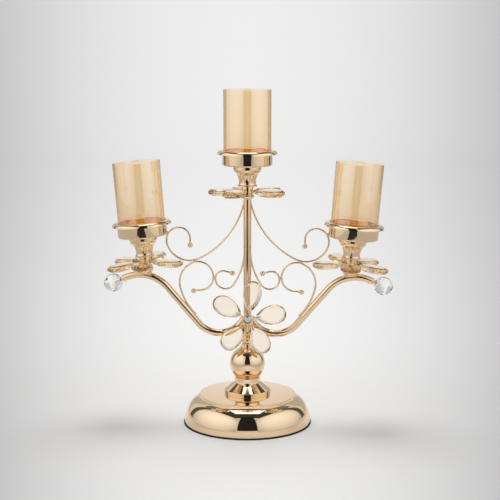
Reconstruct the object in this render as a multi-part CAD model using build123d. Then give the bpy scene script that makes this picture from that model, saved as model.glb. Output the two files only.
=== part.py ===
from build123d import *
from math import asin, atan2, cos, degrees, hypot, pi, radians, sin, sqrt
import os

# Three-cup table candelabra with glass sleeves, crystal flowers and wire scrolls.
# Millimetres. Z is up, X runs along the arms, the front flower faces -Y.
# The origin is the middle of the base on the surface that it stands on.

# Clearances
SHEET_GAP = 0.3
SOLDER_GAP = 0.3
THREAD_CLEARANCE = 0.05
SCREW_CLEARANCE = 0.3
GLUE_CLEARANCE = 0.1

# Base
PAD_OVERHANG = 1.0
PAD_THICKNESS = 2.0
PAD_HOLE_RADIUS = 16.0
DOME_RADIUS = 80.5
DOME_HEIGHT = 32.0
DOME_RIM_HEIGHT = 1.0
DOME_SHOULDER = 25.0
SHEET = 1.2
STEP_RADIUS = 61.5
STEP_HEIGHT = 4.0
STEP_EDGE_RADIUS = 0.8
FLOOR_RECESS_RADIUS = 14.0
FLOOR_RECESS_DEPTH = 6.5

# Pedestal between the base and the column
CONE_RADIUS = 29.2
CONE_BAND_HEIGHT = 5.4
CONE_HEIGHT = 15.6
CONE_COLLAR_RADIUS = 16.4
CONE_COLLAR_HEIGHT = 6.0
CONE_EDGE_RADIUS = 1.0
BALL_RADIUS = 22.4
BALL_SEAT_RADIUS = 14.0
BALL_NECK_RADIUS = 7.2
BALL_NECK_RISE = 26.8
COLLAR_BEAD_RADIUS = 7.1
COLLAR_GROOVE_RADIUS = 5.9
COLLAR_BEAD_HEIGHT = 5.0
COLLAR_BEADS = 3
COLLAR_SOCKET_DEPTH = 8.0

# Column and the rod that clamps the base together
COLUMN_RADIUS = 5.0
COLUMN_WALL = 1.0
COLUMN_TOP = 288.5
TIE_ROD_RADIUS = 3.0
TIE_ROD_GRIP = 6.0
NUT_WIDTH = 10.0
NUT_HEIGHT = 5.0
NUT_ROD_END = 0.6

# Arms, drawn as a bent tube that starts in the column
ARM_RADIUS = 4.5
ARM_WALL = 1.0
ARM_ROOT_RISE = 18.25
ARM_ROOT_HEADING = -66.0
ARM_LOWER_BEND = 35.0
ARM_SLOPE = 49.5
ARM_SLOPE_LENGTH = 60.4
ARM_UPPER_BEND = 45.7
ARM_END_HEADING = -22.7
ARM_END_LENGTH = 5.0
CUP_STATION_HEADING = 10.0

# Crystal balls on the arm ends
END_BALL_RADIUS = 12.0
END_BALL_SIDES = 12
END_BALL_LATITUDES = (-72.0, -42.0, -14.0, 14.0, 42.0, 72.0)
END_BALL_GAP = 2.2
STUD_RADIUS = 1.5
STUD_DEPTH = 9.0
STUD_COLLAR_RADIUS = 2.6
STUD_PLUG_LENGTH = 4.5

# Cup stacks: seat, flower hub, neck, dish and glass, measured up each stack
CUP_LEAN = 4.6
SEAT_TOP_RADIUS = 8.8
SEAT_FOOT_RADIUS = 5.6
SEAT_RIM_SHARE = 0.2
SEAT_FLARE_SHARE = 0.62
SEAT_FLARE_BULGE = 0.17
CAP_HEIGHT = 5.0
CAP_SPIGOT_LENGTH = 12.0
BOSS_RISE = 13.1
CUP_SCREW_RADIUS = 2.5
CUP_SCREW_GRIP = 7.0
CUP_SCREW_HEAD_RADIUS = 5.0
HUB_RADIUS = 7.5
HUB_HEIGHT = 11.5
HUB_PETAL_HEIGHT = 3.6
NECK_HEIGHT = 25.8
NECK_FOOT_RADIUS = 12.6
NECK_FOOT_HEIGHT = 1.0
NECK_FOOT_BULGE_SHARE = 0.25
NECK_FOOT_BULGE_HEIGHT = 2.5
NECK_WAIST_RADIUS = 10.6
NECK_WAIST_HEIGHT = 5.0
NECK_SWEEP_RADIUS = 16.9
NECK_RING_RADIUS = 17.8
NECK_RING_HEIGHT = 5.4
NECK_SWEEP_TOP_RADIUS = 16.8
DISH_RADIUS = 31.4
DISH_WALL = 0.9
DISH_BODY_HEIGHT = 17.6
DISH_BOTTOM_FILLET = 2.0
BRIM_RADIUS = 37.7
BRIM_DROP = 5.0
BRIM_CROWN = 1.9
BRIM_LIP_RUN_SHARE = 0.25
BRIM_LIP_DROP_SHARE = 0.12
BRIM_MIDDLE_ANGLE = 45.0
GLASS_RADIUS = 30.0
GLASS_WALL = 2.0
GLASS_LENGTH = 93.7
GLASS_EDGE_SHARE = 0.4

# Crystal petals
PETAL_LENGTH = 40.0
PETAL_HALF_WIDTH = 12.7
PETAL_WIDEST_SHARE = 0.6
PETAL_ROUND_POWER = 0.5
PETAL_THICKNESS = 8.0
PETAL_GIRDLE = 2.4
PETAL_TABLE_SHARE = 0.76
PETAL_SIDES = 18
PETAL_START = 9.5
PRONG_RADIUS = 0.7
PRONG_DEPTH = 7.5

# Petal directions: bearing, droop and roll of each petal, in degrees
CENTRE_PETALS = ((180, 0, 0), (108, 1, 0), (38, 0, 0), (-17, 0, 4), (-117, -1, 0))
LEFT_PETALS = ((199, 5, 0), (146, 0, 0), (74, -3, 0), (-8, 5, 0), (-90, 0, 0))
RIGHT_PETALS = ((198, 3, 0), (118, -3, 0), (49, -1, 0), (-18, 3, 0), (-90, 0, 0))
FRONT_PETALS = ((10, 0, 0), (80, 0, -26), (151, 0, 0), (232, 0, 0), (298, 0, 0))

# Front flower on the column
FRONT_FLOWER_X = 1.5
FRONT_FLOWER_RISE = 1.0
FRONT_FLOWER_STANDOFF = 15.0
BEZEL_RADIUS = 6.8
BEZEL_FRONT = 5.0
BEZEL_BACK = 3.6
STONE_RADIUS = 5.2
STONE_SEAT_DEPTH = 2.2
STONE_CROWN = 1.1
STONE_BACK_SHARE = 0.7
STONE_TABLE_SHARE = 0.6
STONE_GIRDLE_SHARE = 0.33
STONE_SIDES = 16
STEM_RADIUS = 2.6

# Scroll wires, bent in the plane of the arms and soldered where they meet
WIRE_RADIUS = 1.2
SCROLL_TIE_INSET = 34.3
SCROLL_TIE_DROP = 34.4
SCROLL_TIE_HEADING = -12.6
UPPER_ROOT_DROP = 2.5
UPPER_BELLY_RADIUS = 29.6
UPPER_BELLY_INNER_ANGLE = 14.0
UPPER_BELLY_OUTER_ANGLE = 84.2
UPPER_SIDE_RADIUS = 16.8
UPPER_SIDE_ANGLE = 90.8
UPPER_CURL_RADIUS = 14.0
UPPER_CURL_ANGLE = 106.0
MIDDLE_CROWN_RADIUS = 19.2
MIDDLE_CROWN_ANGLE = 14.7
MIDDLE_SHOULDER_RADIUS = 27.8
MIDDLE_SHOULDER_ANGLE = 76.3
MIDDLE_FOOT_STATION = 0.17
MIDDLE_TIE_ANGLE = 107.0
MIDDLE_TAIL_ANGLE = 8.6
MIDDLE_CURL_RADIUS = 16.8
MIDDLE_CURL_ANGLE = 70.4
INNER_BELLY_RADIUS = 12.6
INNER_BELLY_ANGLE = 150.0
INNER_ROOT_DROP = 67.0
INNER_CURL_RADIUS = 10.1
INNER_CURL_ANGLE = 101.0
SCROLL_TAIL_LENGTH = 7.0
SCROLL_BEAD_RADIUS = 3.3
SCROLL_BEAD_GRIP = 1.2
SOLDER_RADIUS = 2.0


class BentPath:
    """A centreline of straight runs and tangent arcs in the upright plane through the arms."""

    def __init__(self, x, z, heading):
        self.x = x
        self.z = z
        self.heading = heading
        self.edges = []

    def point(self, x, z):
        return Vector(x, 0, z)

    def straight(self, length):
        start = self.point(self.x, self.z)
        self.x += length * cos(radians(self.heading))
        self.z += length * sin(radians(self.heading))
        self.edges.append(Edge.make_line(start, self.point(self.x, self.z)))

    def bend(self, radius, angle):
        """Turn left by a positive angle or right by a negative one, on an arc of this radius."""
        side = 1 if angle > 0 else -1
        normal = radians(self.heading) + side * pi / 2
        centre_x = self.x + radius * cos(normal)
        centre_z = self.z + radius * sin(normal)
        start = self.point(self.x, self.z)
        back = normal + pi
        half = back + radians(angle) / 2
        full = back + radians(angle)
        middle = self.point(centre_x + radius * cos(half), centre_z + radius * sin(half))
        self.x = centre_x + radius * cos(full)
        self.z = centre_z + radius * sin(full)
        self.heading += angle
        self.edges.append(Edge.make_three_point_arc(start, middle, self.point(self.x, self.z)))

    def bend_to(self, x, z):
        """Run on one tangent arc to a point."""
        reach = hypot(x - self.x, z - self.z)
        chord = degrees(atan2(z - self.z, x - self.x))
        angle = 2 * ((chord - self.heading + 180) % 360 - 180)
        self.bend(reach / (2 * abs(sin(radians(angle / 2)))), angle)


def lathe(*edges):
    """Turn a closed outline, drawn in X and Z, about the upright axis."""
    return revolve(make_face(Wire(list(edges))), axis=Axis.Z)


def line(start, end):
    return Edge.make_line(Vector(start[0], 0, start[1]), Vector(end[0], 0, end[1]))


def arc(start, middle, end):
    points = [Vector(p[0], 0, p[1]) for p in (start, middle, end)]
    return Edge.make_three_point_arc(*points)


def polyline(*points):
    return [line(a, b) for a, b in zip(points, points[1:])]


def disc(radius, low, high, hole=0.0):
    """A plain turned ring or disc between two heights."""
    blank = Pos(Z=low) * Cylinder(radius, high - low, align=(Align.CENTER, Align.CENTER, Align.MIN))
    if hole:
        blank -= Pos(Z=low) * Cylinder(hole, high - low, align=(Align.CENTER, Align.CENTER, Align.MIN))
    return blank


def rod_along(path, radius):
    """A round bar of this radius that follows a path."""
    section = Plane(origin=path @ 0, z_dir=path % 0) * Circle(radius)
    return sweep(section, path=path)


def flip(shape):
    """The same shape on the other side of the candelabra."""
    return mirror(shape, about=Plane.YZ)


# Sizes that the stack of base pieces gives
pad_radius = DOME_RADIUS + PAD_OVERHANG
rim_z = PAD_THICKNESS + DOME_RIM_HEIGHT
dome_centre_radius = DOME_RADIUS - DOME_SHOULDER
deck_z = rim_z + DOME_HEIGHT * sqrt(1 - ((STEP_RADIUS - dome_centre_radius) / DOME_SHOULDER) ** 2)
step_z = deck_z + STEP_HEIGHT
cone_z = step_z + CONE_HEIGHT
ball_seat_z = cone_z + CONE_COLLAR_HEIGHT
ball_z = ball_seat_z + sqrt(BALL_RADIUS**2 - BALL_SEAT_RADIUS**2)
neck_z = ball_z + BALL_NECK_RISE
collar_z = neck_z + COLLAR_BEADS * COLLAR_BEAD_HEIGHT
column_z = collar_z - COLLAR_SOCKET_DEPTH
arm_root_z = collar_z + ARM_ROOT_RISE
rod_hole = TIE_ROD_RADIUS + SCREW_CLEARANCE
recess_z = PAD_THICKNESS + FLOOR_RECESS_DEPTH

# Heights up a cup stack, from the seat that carries the flower hub
neck_s = HUB_HEIGHT
dish_s = neck_s + NECK_HEIGHT
floor_s = dish_s + DISH_WALL
lip_s = dish_s + DISH_BODY_HEIGHT
screw_bore = CUP_SCREW_RADIUS + SCREW_CLEARANCE
head_depth = CUP_SCREW_HEAD_RADIUS - CUP_SCREW_RADIUS


def base_pad():
    return disc(pad_radius, 0, PAD_THICKNESS, PAD_HOLE_RADIUS)


def base_bottom_plate():
    """A pressed plate inside the dome, raised in the middle so that the nut clears the table."""
    edge = DOME_RADIUS - SHEET - SHEET_GAP
    low = PAD_THICKNESS
    inner = FLOOR_RECESS_RADIUS - SHEET
    outline = polyline(
        (edge, low),
        (FLOOR_RECESS_RADIUS + SHEET, low),
        (inner + SHEET, recess_z),
        (rod_hole, recess_z),
        (rod_hole, recess_z + SHEET),
        (FLOOR_RECESS_RADIUS + SHEET / 2, recess_z + SHEET),
        (FLOOR_RECESS_RADIUS + 2 * SHEET, low + SHEET),
        (edge, low + SHEET),
        (edge, low),
    )
    return lathe(*outline)


def dome_point(angle, inset):
    """A point on the elliptical shoulder of the dome, on its outer face or inset by the sheet."""
    return (
        dome_centre_radius + (DOME_SHOULDER - inset) * cos(radians(angle)),
        rim_z + (DOME_HEIGHT - inset) * sin(radians(angle)),
    )


def dome_shoulder(inset, top):
    """The elliptical edge of the dome from its rim up to the deck."""
    end = degrees(asin((top - rim_z) / (DOME_HEIGHT - inset)))
    ellipse = Edge.make_ellipse(
        DOME_SHOULDER - inset,
        DOME_HEIGHT - inset,
        plane=Plane(origin=(dome_centre_radius, 0, rim_z), x_dir=(1, 0, 0), z_dir=(0, -1, 0)),
        start_angle=0,
        end_angle=end,
    )
    return ellipse, dome_point(end, inset)


def base_dome():
    outer, outer_end = dome_shoulder(0, deck_z)
    inner, inner_end = dome_shoulder(SHEET, deck_z - SHEET)
    outline = [
        outer,
        line(outer_end, (rod_hole, deck_z)),
        line((rod_hole, deck_z), (rod_hole, deck_z - SHEET)),
        line((rod_hole, deck_z - SHEET), inner_end),
        inner,
        line((DOME_RADIUS - SHEET, rim_z), (DOME_RADIUS - SHEET, PAD_THICKNESS)),
        line((DOME_RADIUS - SHEET, PAD_THICKNESS), (DOME_RADIUS, PAD_THICKNESS)),
        line((DOME_RADIUS, PAD_THICKNESS), (DOME_RADIUS, rim_z)),
    ]
    return lathe(*outline)


def base_top_plate():
    """A shallow stamped lid with a turned-down edge, standing on the dome."""
    lid = disc(STEP_RADIUS, deck_z, step_z)
    lid = fillet(lid.edges().group_by(Axis.Z)[-1], STEP_EDGE_RADIUS)
    lid -= disc(STEP_RADIUS - SHEET, deck_z, step_z - SHEET)
    return lid - disc(rod_hole, deck_z, step_z)


def base_cone():
    """A spun cone with a band at its foot and a plain collar at its top."""
    band_z = step_z + CONE_BAND_HEIGHT
    outer = lathe(
        *polyline(
            (0, step_z),
            (CONE_RADIUS, step_z),
            (CONE_RADIUS, band_z),
            (CONE_COLLAR_RADIUS, cone_z),
            (CONE_COLLAR_RADIUS, ball_seat_z),
            (0, ball_seat_z),
            (0, step_z),
        )
    )
    band_edge = outer.edges().filter_by(GeomType.CIRCLE).group_by(Axis.Z)[1]
    outer = fillet(band_edge, CONE_EDGE_RADIUS)
    hollow = lathe(
        *polyline(
            (0, step_z),
            (CONE_RADIUS - SHEET, step_z),
            (CONE_RADIUS - SHEET, band_z - SHEET),
            (CONE_COLLAR_RADIUS - SHEET, cone_z - SHEET),
            (CONE_COLLAR_RADIUS - SHEET, ball_seat_z - SHEET),
            (0, ball_seat_z - SHEET),
            (0, step_z),
        )
    )
    return outer - hollow - disc(rod_hole, step_z, ball_seat_z)


def base_ball():
    """A hollow ball that draws up into a slim neck."""
    rise = BALL_NECK_RISE
    sweep_radius = (BALL_NECK_RADIUS**2 + rise**2 - BALL_RADIUS**2) / (2 * (BALL_RADIUS - BALL_NECK_RADIUS))
    sweep_centre = BALL_NECK_RADIUS + sweep_radius
    turn = atan2(rise, sweep_centre)
    seat = -asin((ball_z - ball_seat_z) / BALL_RADIUS)
    half = (seat + turn) / 2
    join = (BALL_RADIUS * cos(turn), ball_z + BALL_RADIUS * sin(turn))
    middle = (BALL_RADIUS * cos(half), ball_z + BALL_RADIUS * sin(half))
    sweep_middle = (sweep_centre - sweep_radius * cos(turn / 2), neck_z - sweep_radius * sin(turn / 2))
    outer = lathe(
        line((0, ball_seat_z), (BALL_SEAT_RADIUS, ball_seat_z)),
        arc((BALL_SEAT_RADIUS, ball_seat_z), middle, join),
        arc(join, sweep_middle, (BALL_NECK_RADIUS, neck_z)),
        line((BALL_NECK_RADIUS, neck_z), (0, neck_z)),
        line((0, neck_z), (0, ball_seat_z)),
    )
    hollow = Pos(Z=ball_z) * Sphere(BALL_RADIUS - SHEET)
    hollow &= disc(BALL_RADIUS, ball_seat_z + SHEET, neck_z)
    return outer - hollow - disc(rod_hole, ball_seat_z, neck_z)


def column_collar():
    """A turned collar of round beads that the column tube is brazed into."""
    edges = [line((0, neck_z), (COLLAR_GROOVE_RADIUS, neck_z))]
    for bead in range(COLLAR_BEADS):
        low = neck_z + bead * COLLAR_BEAD_HEIGHT
        high = low + COLLAR_BEAD_HEIGHT
        crown = (COLLAR_BEAD_RADIUS, low + COLLAR_BEAD_HEIGHT / 2)
        edges.append(arc((COLLAR_GROOVE_RADIUS, low), crown, (COLLAR_GROOVE_RADIUS, high)))
    edges.append(line((COLLAR_GROOVE_RADIUS, collar_z), (0, collar_z)))
    edges.append(line((0, collar_z), (0, neck_z)))
    collar = lathe(*edges)
    collar -= disc(COLUMN_RADIUS + THREAD_CLEARANCE, column_z, collar_z)
    return collar - disc(TIE_ROD_RADIUS + THREAD_CLEARANCE, neck_z, column_z)


def column_tube():
    return disc(COLUMN_RADIUS, column_z, COLUMN_TOP, COLUMN_RADIUS - COLUMN_WALL)


def seat_blank(height):
    """A turned seat that flares from its foot up to the face under a flower hub."""
    edge_z = -height * SEAT_RIM_SHARE
    mean_radius = (SEAT_TOP_RADIUS + SEAT_FOOT_RADIUS) / 2
    bulge = (mean_radius + height * SEAT_FLARE_BULGE, -height * SEAT_FLARE_SHARE)
    return lathe(
        line((0, -height), (SEAT_FOOT_RADIUS, -height)),
        arc((SEAT_FOOT_RADIUS, -height), bulge, (SEAT_TOP_RADIUS, edge_z)),
        line((SEAT_TOP_RADIUS, edge_z), (SEAT_TOP_RADIUS, 0)),
        line((SEAT_TOP_RADIUS, 0), (0, 0)),
        line((0, 0), (0, -height)),
    )


def column_cap():
    """The seat on the column: its spigot fills the tube and is tapped for the cup screw."""
    cap = seat_blank(CAP_HEIGHT)
    cap += disc(COLUMN_RADIUS - COLUMN_WALL - THREAD_CLEARANCE, -CAP_HEIGHT - CAP_SPIGOT_LENGTH, -CAP_HEIGHT)
    cap -= disc(CUP_SCREW_RADIUS + THREAD_CLEARANCE, -CAP_HEIGHT - CAP_SPIGOT_LENGTH, 0)
    return cap


def tie_rod():
    return disc(TIE_ROD_RADIUS, recess_z - NUT_HEIGHT - NUT_ROD_END, neck_z + TIE_ROD_GRIP)


def base_nut():
    hexagon = RegularPolygon(NUT_WIDTH / 2, 6, major_radius=False)
    nut = Pos(Z=recess_z - NUT_HEIGHT) * extrude(hexagon, NUT_HEIGHT)
    return nut - disc(TIE_ROD_RADIUS + THREAD_CLEARANCE, recess_z - NUT_HEIGHT, recess_z)


def arm_path():
    """The right arm's centreline, with the place and slope of the cup station on it."""
    path = BentPath(COLUMN_RADIUS - ARM_WALL, arm_root_z, ARM_ROOT_HEADING)
    path.bend(ARM_LOWER_BEND, ARM_SLOPE - ARM_ROOT_HEADING)
    slope_start = (path.x, path.z)
    path.straight(ARM_SLOPE_LENGTH)
    path.bend(ARM_UPPER_BEND, CUP_STATION_HEADING - ARM_SLOPE)
    station = (path.x, path.z)
    path.bend(ARM_UPPER_BEND, ARM_END_HEADING - CUP_STATION_HEADING)
    path.straight(ARM_END_LENGTH)
    return path, slope_start, station


arm_centreline, arm_slope_start, arm_station = arm_path()
arm_wire = Wire(arm_centreline.edges)
arm_bar = rod_along(arm_wire, ARM_RADIUS)
column_bar = disc(COLUMN_RADIUS, column_z, COLUMN_TOP)


def arm():
    bore = rod_along(arm_wire, ARM_RADIUS - ARM_WALL)
    return arm_bar - bore - column_bar


# Places of the cup stacks: each is the middle of the seat under a flower hub
centre_seat = Pos(Z=COLUMN_TOP + CAP_HEIGHT)
right_seat = Pos(X=arm_station[0], Z=arm_station[1]) * Rot(Y=CUP_LEAN) * Pos(Z=BOSS_RISE)
left_seat = Pos(X=-arm_station[0], Z=arm_station[1]) * Rot(Y=-CUP_LEAN) * Pos(Z=BOSS_RISE)
SEATS = {"centre": centre_seat, "left": left_seat, "right": right_seat}


def arm_boss():
    """The seat on an arm, cut to the round of the tube and tapped for the cup screw."""
    boss = seat_blank(BOSS_RISE)
    boss -= disc(CUP_SCREW_RADIUS + THREAD_CLEARANCE, -BOSS_RISE, 0)
    placed = right_seat * boss - arm_bar
    return max(placed.solids(), key=lambda s: s.center().Z)


def end_place():
    """The right arm's cut end, with its own Z pointing out of the tube."""
    heading = arm_centreline.heading
    return Pos(X=arm_centreline.x, Z=arm_centreline.z) * Rot(Y=90 - heading)


def end_ball():
    """A faceted ball, drilled for the stud that holds it."""
    sections = []
    for latitude in END_BALL_LATITUDES:
        ring = RegularPolygon(END_BALL_RADIUS * cos(radians(latitude)), END_BALL_SIDES)
        sections.append(Pos(Z=END_BALL_RADIUS * sin(radians(latitude))) * ring)
    ball = loft(sections, ruled=True)
    flat = END_BALL_RADIUS * sin(radians(END_BALL_LATITUDES[-1]))
    ball -= disc(STUD_RADIUS + GLUE_CLEARANCE, -flat, -flat + STUD_DEPTH + GLUE_CLEARANCE)
    return end_place() * Pos(Z=END_BALL_GAP + flat) * ball


def end_ball_stud():
    stud = disc(ARM_RADIUS - ARM_WALL - THREAD_CLEARANCE, -STUD_PLUG_LENGTH, 0)
    stud += disc(STUD_COLLAR_RADIUS, 0, END_BALL_GAP)
    stud += disc(STUD_RADIUS, END_BALL_GAP, END_BALL_GAP + STUD_DEPTH)
    return end_place() * stud


def prongs(petals, hub_radius):
    """Wire prongs that run from the middle of a hub into its petals."""
    wires = Part()
    length = PETAL_START + PRONG_DEPTH
    for bearing, droop, _ in petals:
        prong = Rot(Z=bearing) * Rot(Y=droop) * Rot(Y=90)
        wires += prong * disc(PRONG_RADIUS, hub_radius / 2, length)
    return wires


def petal_hub(petals):
    hub = disc(HUB_RADIUS, 0, HUB_HEIGHT) + Pos(Z=HUB_PETAL_HEIGHT) * prongs(petals, HUB_RADIUS)
    return hub - disc(screw_bore, 0, HUB_HEIGHT)


def teardrop(share):
    """The petal's outline, shrunk about its widest place: a power of the way from its tip to its
    widest place times a power of the way left to its round end."""
    middle = PETAL_WIDEST_SHARE * PETAL_LENGTH
    tip_power = PETAL_ROUND_POWER * PETAL_WIDEST_SHARE / (1 - PETAL_WIDEST_SHARE)
    points = []
    for corner in range(1, PETAL_SIDES):
        turn = 2 * pi * corner / PETAL_SIDES
        along = sin(turn / 2) ** 2
        rise = (along / PETAL_WIDEST_SHARE) ** tip_power
        fall = ((1 - along) / (1 - PETAL_WIDEST_SHARE)) ** PETAL_ROUND_POWER
        side = 1 if sin(turn) > 0 else -1
        x = middle + share * (along * PETAL_LENGTH - middle)
        points.append((x, -side * share * rise * fall * PETAL_HALF_WIDTH))
    return make_face(Wire.make_polygon([Vector(x, y) for x, y in points]))


def petal():
    """A cut crystal drop: two flat tables, bevelled facets and a narrow girdle, drilled at its tip."""
    table_z = PETAL_THICKNESS / 2
    girdle_z = PETAL_GIRDLE / 2
    sections = [
        Pos(Z=-table_z) * teardrop(PETAL_TABLE_SHARE),
        Pos(Z=-girdle_z) * teardrop(1),
        Pos(Z=girdle_z) * teardrop(1),
        Pos(Z=table_z) * teardrop(PETAL_TABLE_SHARE),
    ]
    body = loft(sections, ruled=True)
    return body - Rot(Y=90) * disc(PRONG_RADIUS + GLUE_CLEARANCE, 0, PRONG_DEPTH + GLUE_CLEARANCE)


petal_blank = petal()


def flower(place, petals):
    """The petals of one flower, each turned to its own bearing, droop and roll."""
    placed = []
    for bearing, droop, roll in petals:
        turn = place * Rot(Z=bearing) * Rot(Y=droop) * Rot(X=roll) * Pos(X=PETAL_START)
        placed.append(turn * petal_blank)
    return placed


def cup_neck():
    """A trumpet: a thin foot, a slim waist and a wide sweep up to the ring under the dish."""
    waist_z = NECK_WAIST_HEIGHT
    reach = NECK_SWEEP_TOP_RADIUS - NECK_WAIST_RADIUS
    sweep_angle = degrees(2 * asin(sqrt(reach / (2 * NECK_SWEEP_RADIUS))))
    centre_x = NECK_WAIST_RADIUS + NECK_SWEEP_RADIUS

    def sweep_point(angle):
        turned = radians(angle)
        return (centre_x - NECK_SWEEP_RADIUS * cos(turned), waist_z + NECK_SWEEP_RADIUS * sin(turned))

    ring_low = NECK_HEIGHT - NECK_RING_HEIGHT
    foot_overhang = NECK_FOOT_RADIUS - NECK_WAIST_RADIUS
    foot_bulge = (NECK_WAIST_RADIUS + foot_overhang * NECK_FOOT_BULGE_SHARE, NECK_FOOT_BULGE_HEIGHT)
    outline = [
        line((screw_bore, 0), (NECK_FOOT_RADIUS, 0)),
        line((NECK_FOOT_RADIUS, 0), (NECK_FOOT_RADIUS, NECK_FOOT_HEIGHT)),
        arc((NECK_FOOT_RADIUS, NECK_FOOT_HEIGHT), foot_bulge, (NECK_WAIST_RADIUS, waist_z)),
        arc(sweep_point(0), sweep_point(sweep_angle / 2), sweep_point(sweep_angle)),
        line(sweep_point(sweep_angle), (NECK_RING_RADIUS, ring_low)),
        line((NECK_RING_RADIUS, ring_low), (NECK_RING_RADIUS, NECK_HEIGHT)),
        line((NECK_RING_RADIUS, NECK_HEIGHT), (screw_bore, NECK_HEIGHT)),
        line((screw_bore, NECK_HEIGHT), (screw_bore, 0)),
    ]
    head_room = head_depth + SCREW_CLEARANCE - DISH_WALL
    sink_z = NECK_HEIGHT - head_room
    sink = lathe(
        *polyline(
            (0, sink_z),
            (screw_bore, sink_z),
            (screw_bore + head_room, NECK_HEIGHT),
            (0, NECK_HEIGHT),
            (0, sink_z),
        )
    )
    return Pos(Z=neck_s) * (lathe(*outline) - sink)


def cup_dish():
    """A drawn dish whose wall turns out and down into a convex drip brim."""
    inner = DISH_RADIUS - DISH_WALL
    crown_x = DISH_RADIUS + BRIM_CROWN / 2
    crown_z = DISH_BODY_HEIGHT + BRIM_CROWN
    brim_z = crown_z - BRIM_DROP
    lip_z = DISH_BODY_HEIGHT + BRIM_CROWN / 2
    tray = fillet(disc(DISH_RADIUS, 0, DISH_BODY_HEIGHT).edges().group_by(Axis.Z)[0], DISH_BOTTOM_FILLET)
    tray -= disc(inner, DISH_WALL, DISH_BODY_HEIGHT)
    middle = radians(BRIM_MIDDLE_ANGLE)
    upper_middle = (crown_x + (BRIM_RADIUS - crown_x) * sin(middle), brim_z + BRIM_DROP * cos(middle))
    under_middle = (upper_middle[0] - DISH_WALL * sin(middle), upper_middle[1] - DISH_WALL * cos(middle))
    lip_middle = (inner + BRIM_CROWN * BRIM_LIP_RUN_SHARE, crown_z - BRIM_CROWN * BRIM_LIP_DROP_SHARE)
    brim = lathe(
        line((inner, DISH_BODY_HEIGHT), (inner, lip_z)),
        arc((inner, lip_z), lip_middle, (crown_x, crown_z)),
        arc((crown_x, crown_z), upper_middle, (BRIM_RADIUS, brim_z)),
        line((BRIM_RADIUS, brim_z), (BRIM_RADIUS - DISH_WALL, brim_z)),
        arc((BRIM_RADIUS - DISH_WALL, brim_z), under_middle, (DISH_RADIUS, crown_z - DISH_WALL)),
        line((DISH_RADIUS, crown_z - DISH_WALL), (DISH_RADIUS, DISH_BODY_HEIGHT)),
        line((DISH_RADIUS, DISH_BODY_HEIGHT), (inner, DISH_BODY_HEIGHT)),
    )
    hole_radius = CUP_SCREW_HEAD_RADIUS + SCREW_CLEARANCE
    hole = lathe(
        *polyline(
            (0, 0),
            (hole_radius - DISH_WALL, 0),
            (hole_radius, DISH_WALL),
            (0, DISH_WALL),
            (0, 0),
        )
    )
    return Pos(Z=dish_s) * (tray + brim - hole)


def cup_screw():
    """A countersunk screw, flush with the dish floor, that clamps the stack to its seat."""
    tip = -CUP_SCREW_GRIP
    head_low = floor_s - head_depth
    return lathe(
        *polyline(
            (0, tip),
            (CUP_SCREW_RADIUS, tip),
            (CUP_SCREW_RADIUS, head_low),
            (CUP_SCREW_HEAD_RADIUS, floor_s),
            (0, floor_s),
            (0, tip),
        )
    )


def glass_sleeve():
    """An open glass tube with fire-polished ends."""
    tube = disc(GLASS_RADIUS, 0, GLASS_LENGTH, GLASS_RADIUS - GLASS_WALL)
    tube = fillet(tube.edges().filter_by(GeomType.CIRCLE), GLASS_WALL * GLASS_EDGE_SHARE)
    return Pos(Z=floor_s) * tube


front_plane = Plane(
    origin=(FRONT_FLOWER_X, -FRONT_FLOWER_STANDOFF, arm_root_z + FRONT_FLOWER_RISE),
    x_dir=(1, 0, 0),
    z_dir=(0, -1, 0),
)
front_place = front_plane.location


def front_bezel():
    """The stone's cup, with prongs for the petals and a stem that is brazed to the column."""
    bezel = disc(BEZEL_RADIUS, -BEZEL_BACK, BEZEL_FRONT)
    bezel = fillet(bezel.edges().group_by(Axis.Z)[-1], (BEZEL_RADIUS - STONE_RADIUS) / 2)
    bezel -= disc(STONE_RADIUS + GLUE_CLEARANCE, BEZEL_FRONT - STONE_SEAT_DEPTH, BEZEL_FRONT)
    bezel += prongs(FRONT_PETALS, BEZEL_RADIUS)
    bezel += disc(STEM_RADIUS, -FRONT_FLOWER_STANDOFF, -BEZEL_BACK)
    return front_place * bezel - column_bar - arm_bar - flip(arm_bar)


def front_stone():
    """A round stone with a flat table, resting in the bezel."""
    low = BEZEL_FRONT - STONE_SEAT_DEPTH
    girdle = BEZEL_FRONT - STONE_SEAT_DEPTH * STONE_GIRDLE_SHARE
    sections = [
        Pos(Z=low) * RegularPolygon(STONE_RADIUS * STONE_BACK_SHARE, STONE_SIDES),
        Pos(Z=girdle) * RegularPolygon(STONE_RADIUS, STONE_SIDES),
        Pos(Z=BEZEL_FRONT + STONE_CROWN) * RegularPolygon(STONE_RADIUS * STONE_TABLE_SHARE, STONE_SIDES),
    ]
    return front_place * loft(sections, ruled=True)


# The scrolls start from the inner corner of the right dish and from the top of the column
dish_corner = (right_seat * Pos(X=-DISH_RADIUS, Z=dish_s + DISH_BOTTOM_FILLET)).position
upper_tie = (dish_corner.X - SCROLL_TIE_INSET, dish_corner.Z - SCROLL_TIE_DROP)
upper_root = COLUMN_TOP - UPPER_ROOT_DROP
inner_root = upper_root - INNER_ROOT_DROP


def beside(path):
    """The point one wire and one solder gap to the right of a path's end."""
    normal = radians(path.heading) - pi / 2
    pitch = 2 * WIRE_RADIUS + SOLDER_GAP
    return (path.x + pitch * cos(normal), path.z + pitch * sin(normal))


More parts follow.
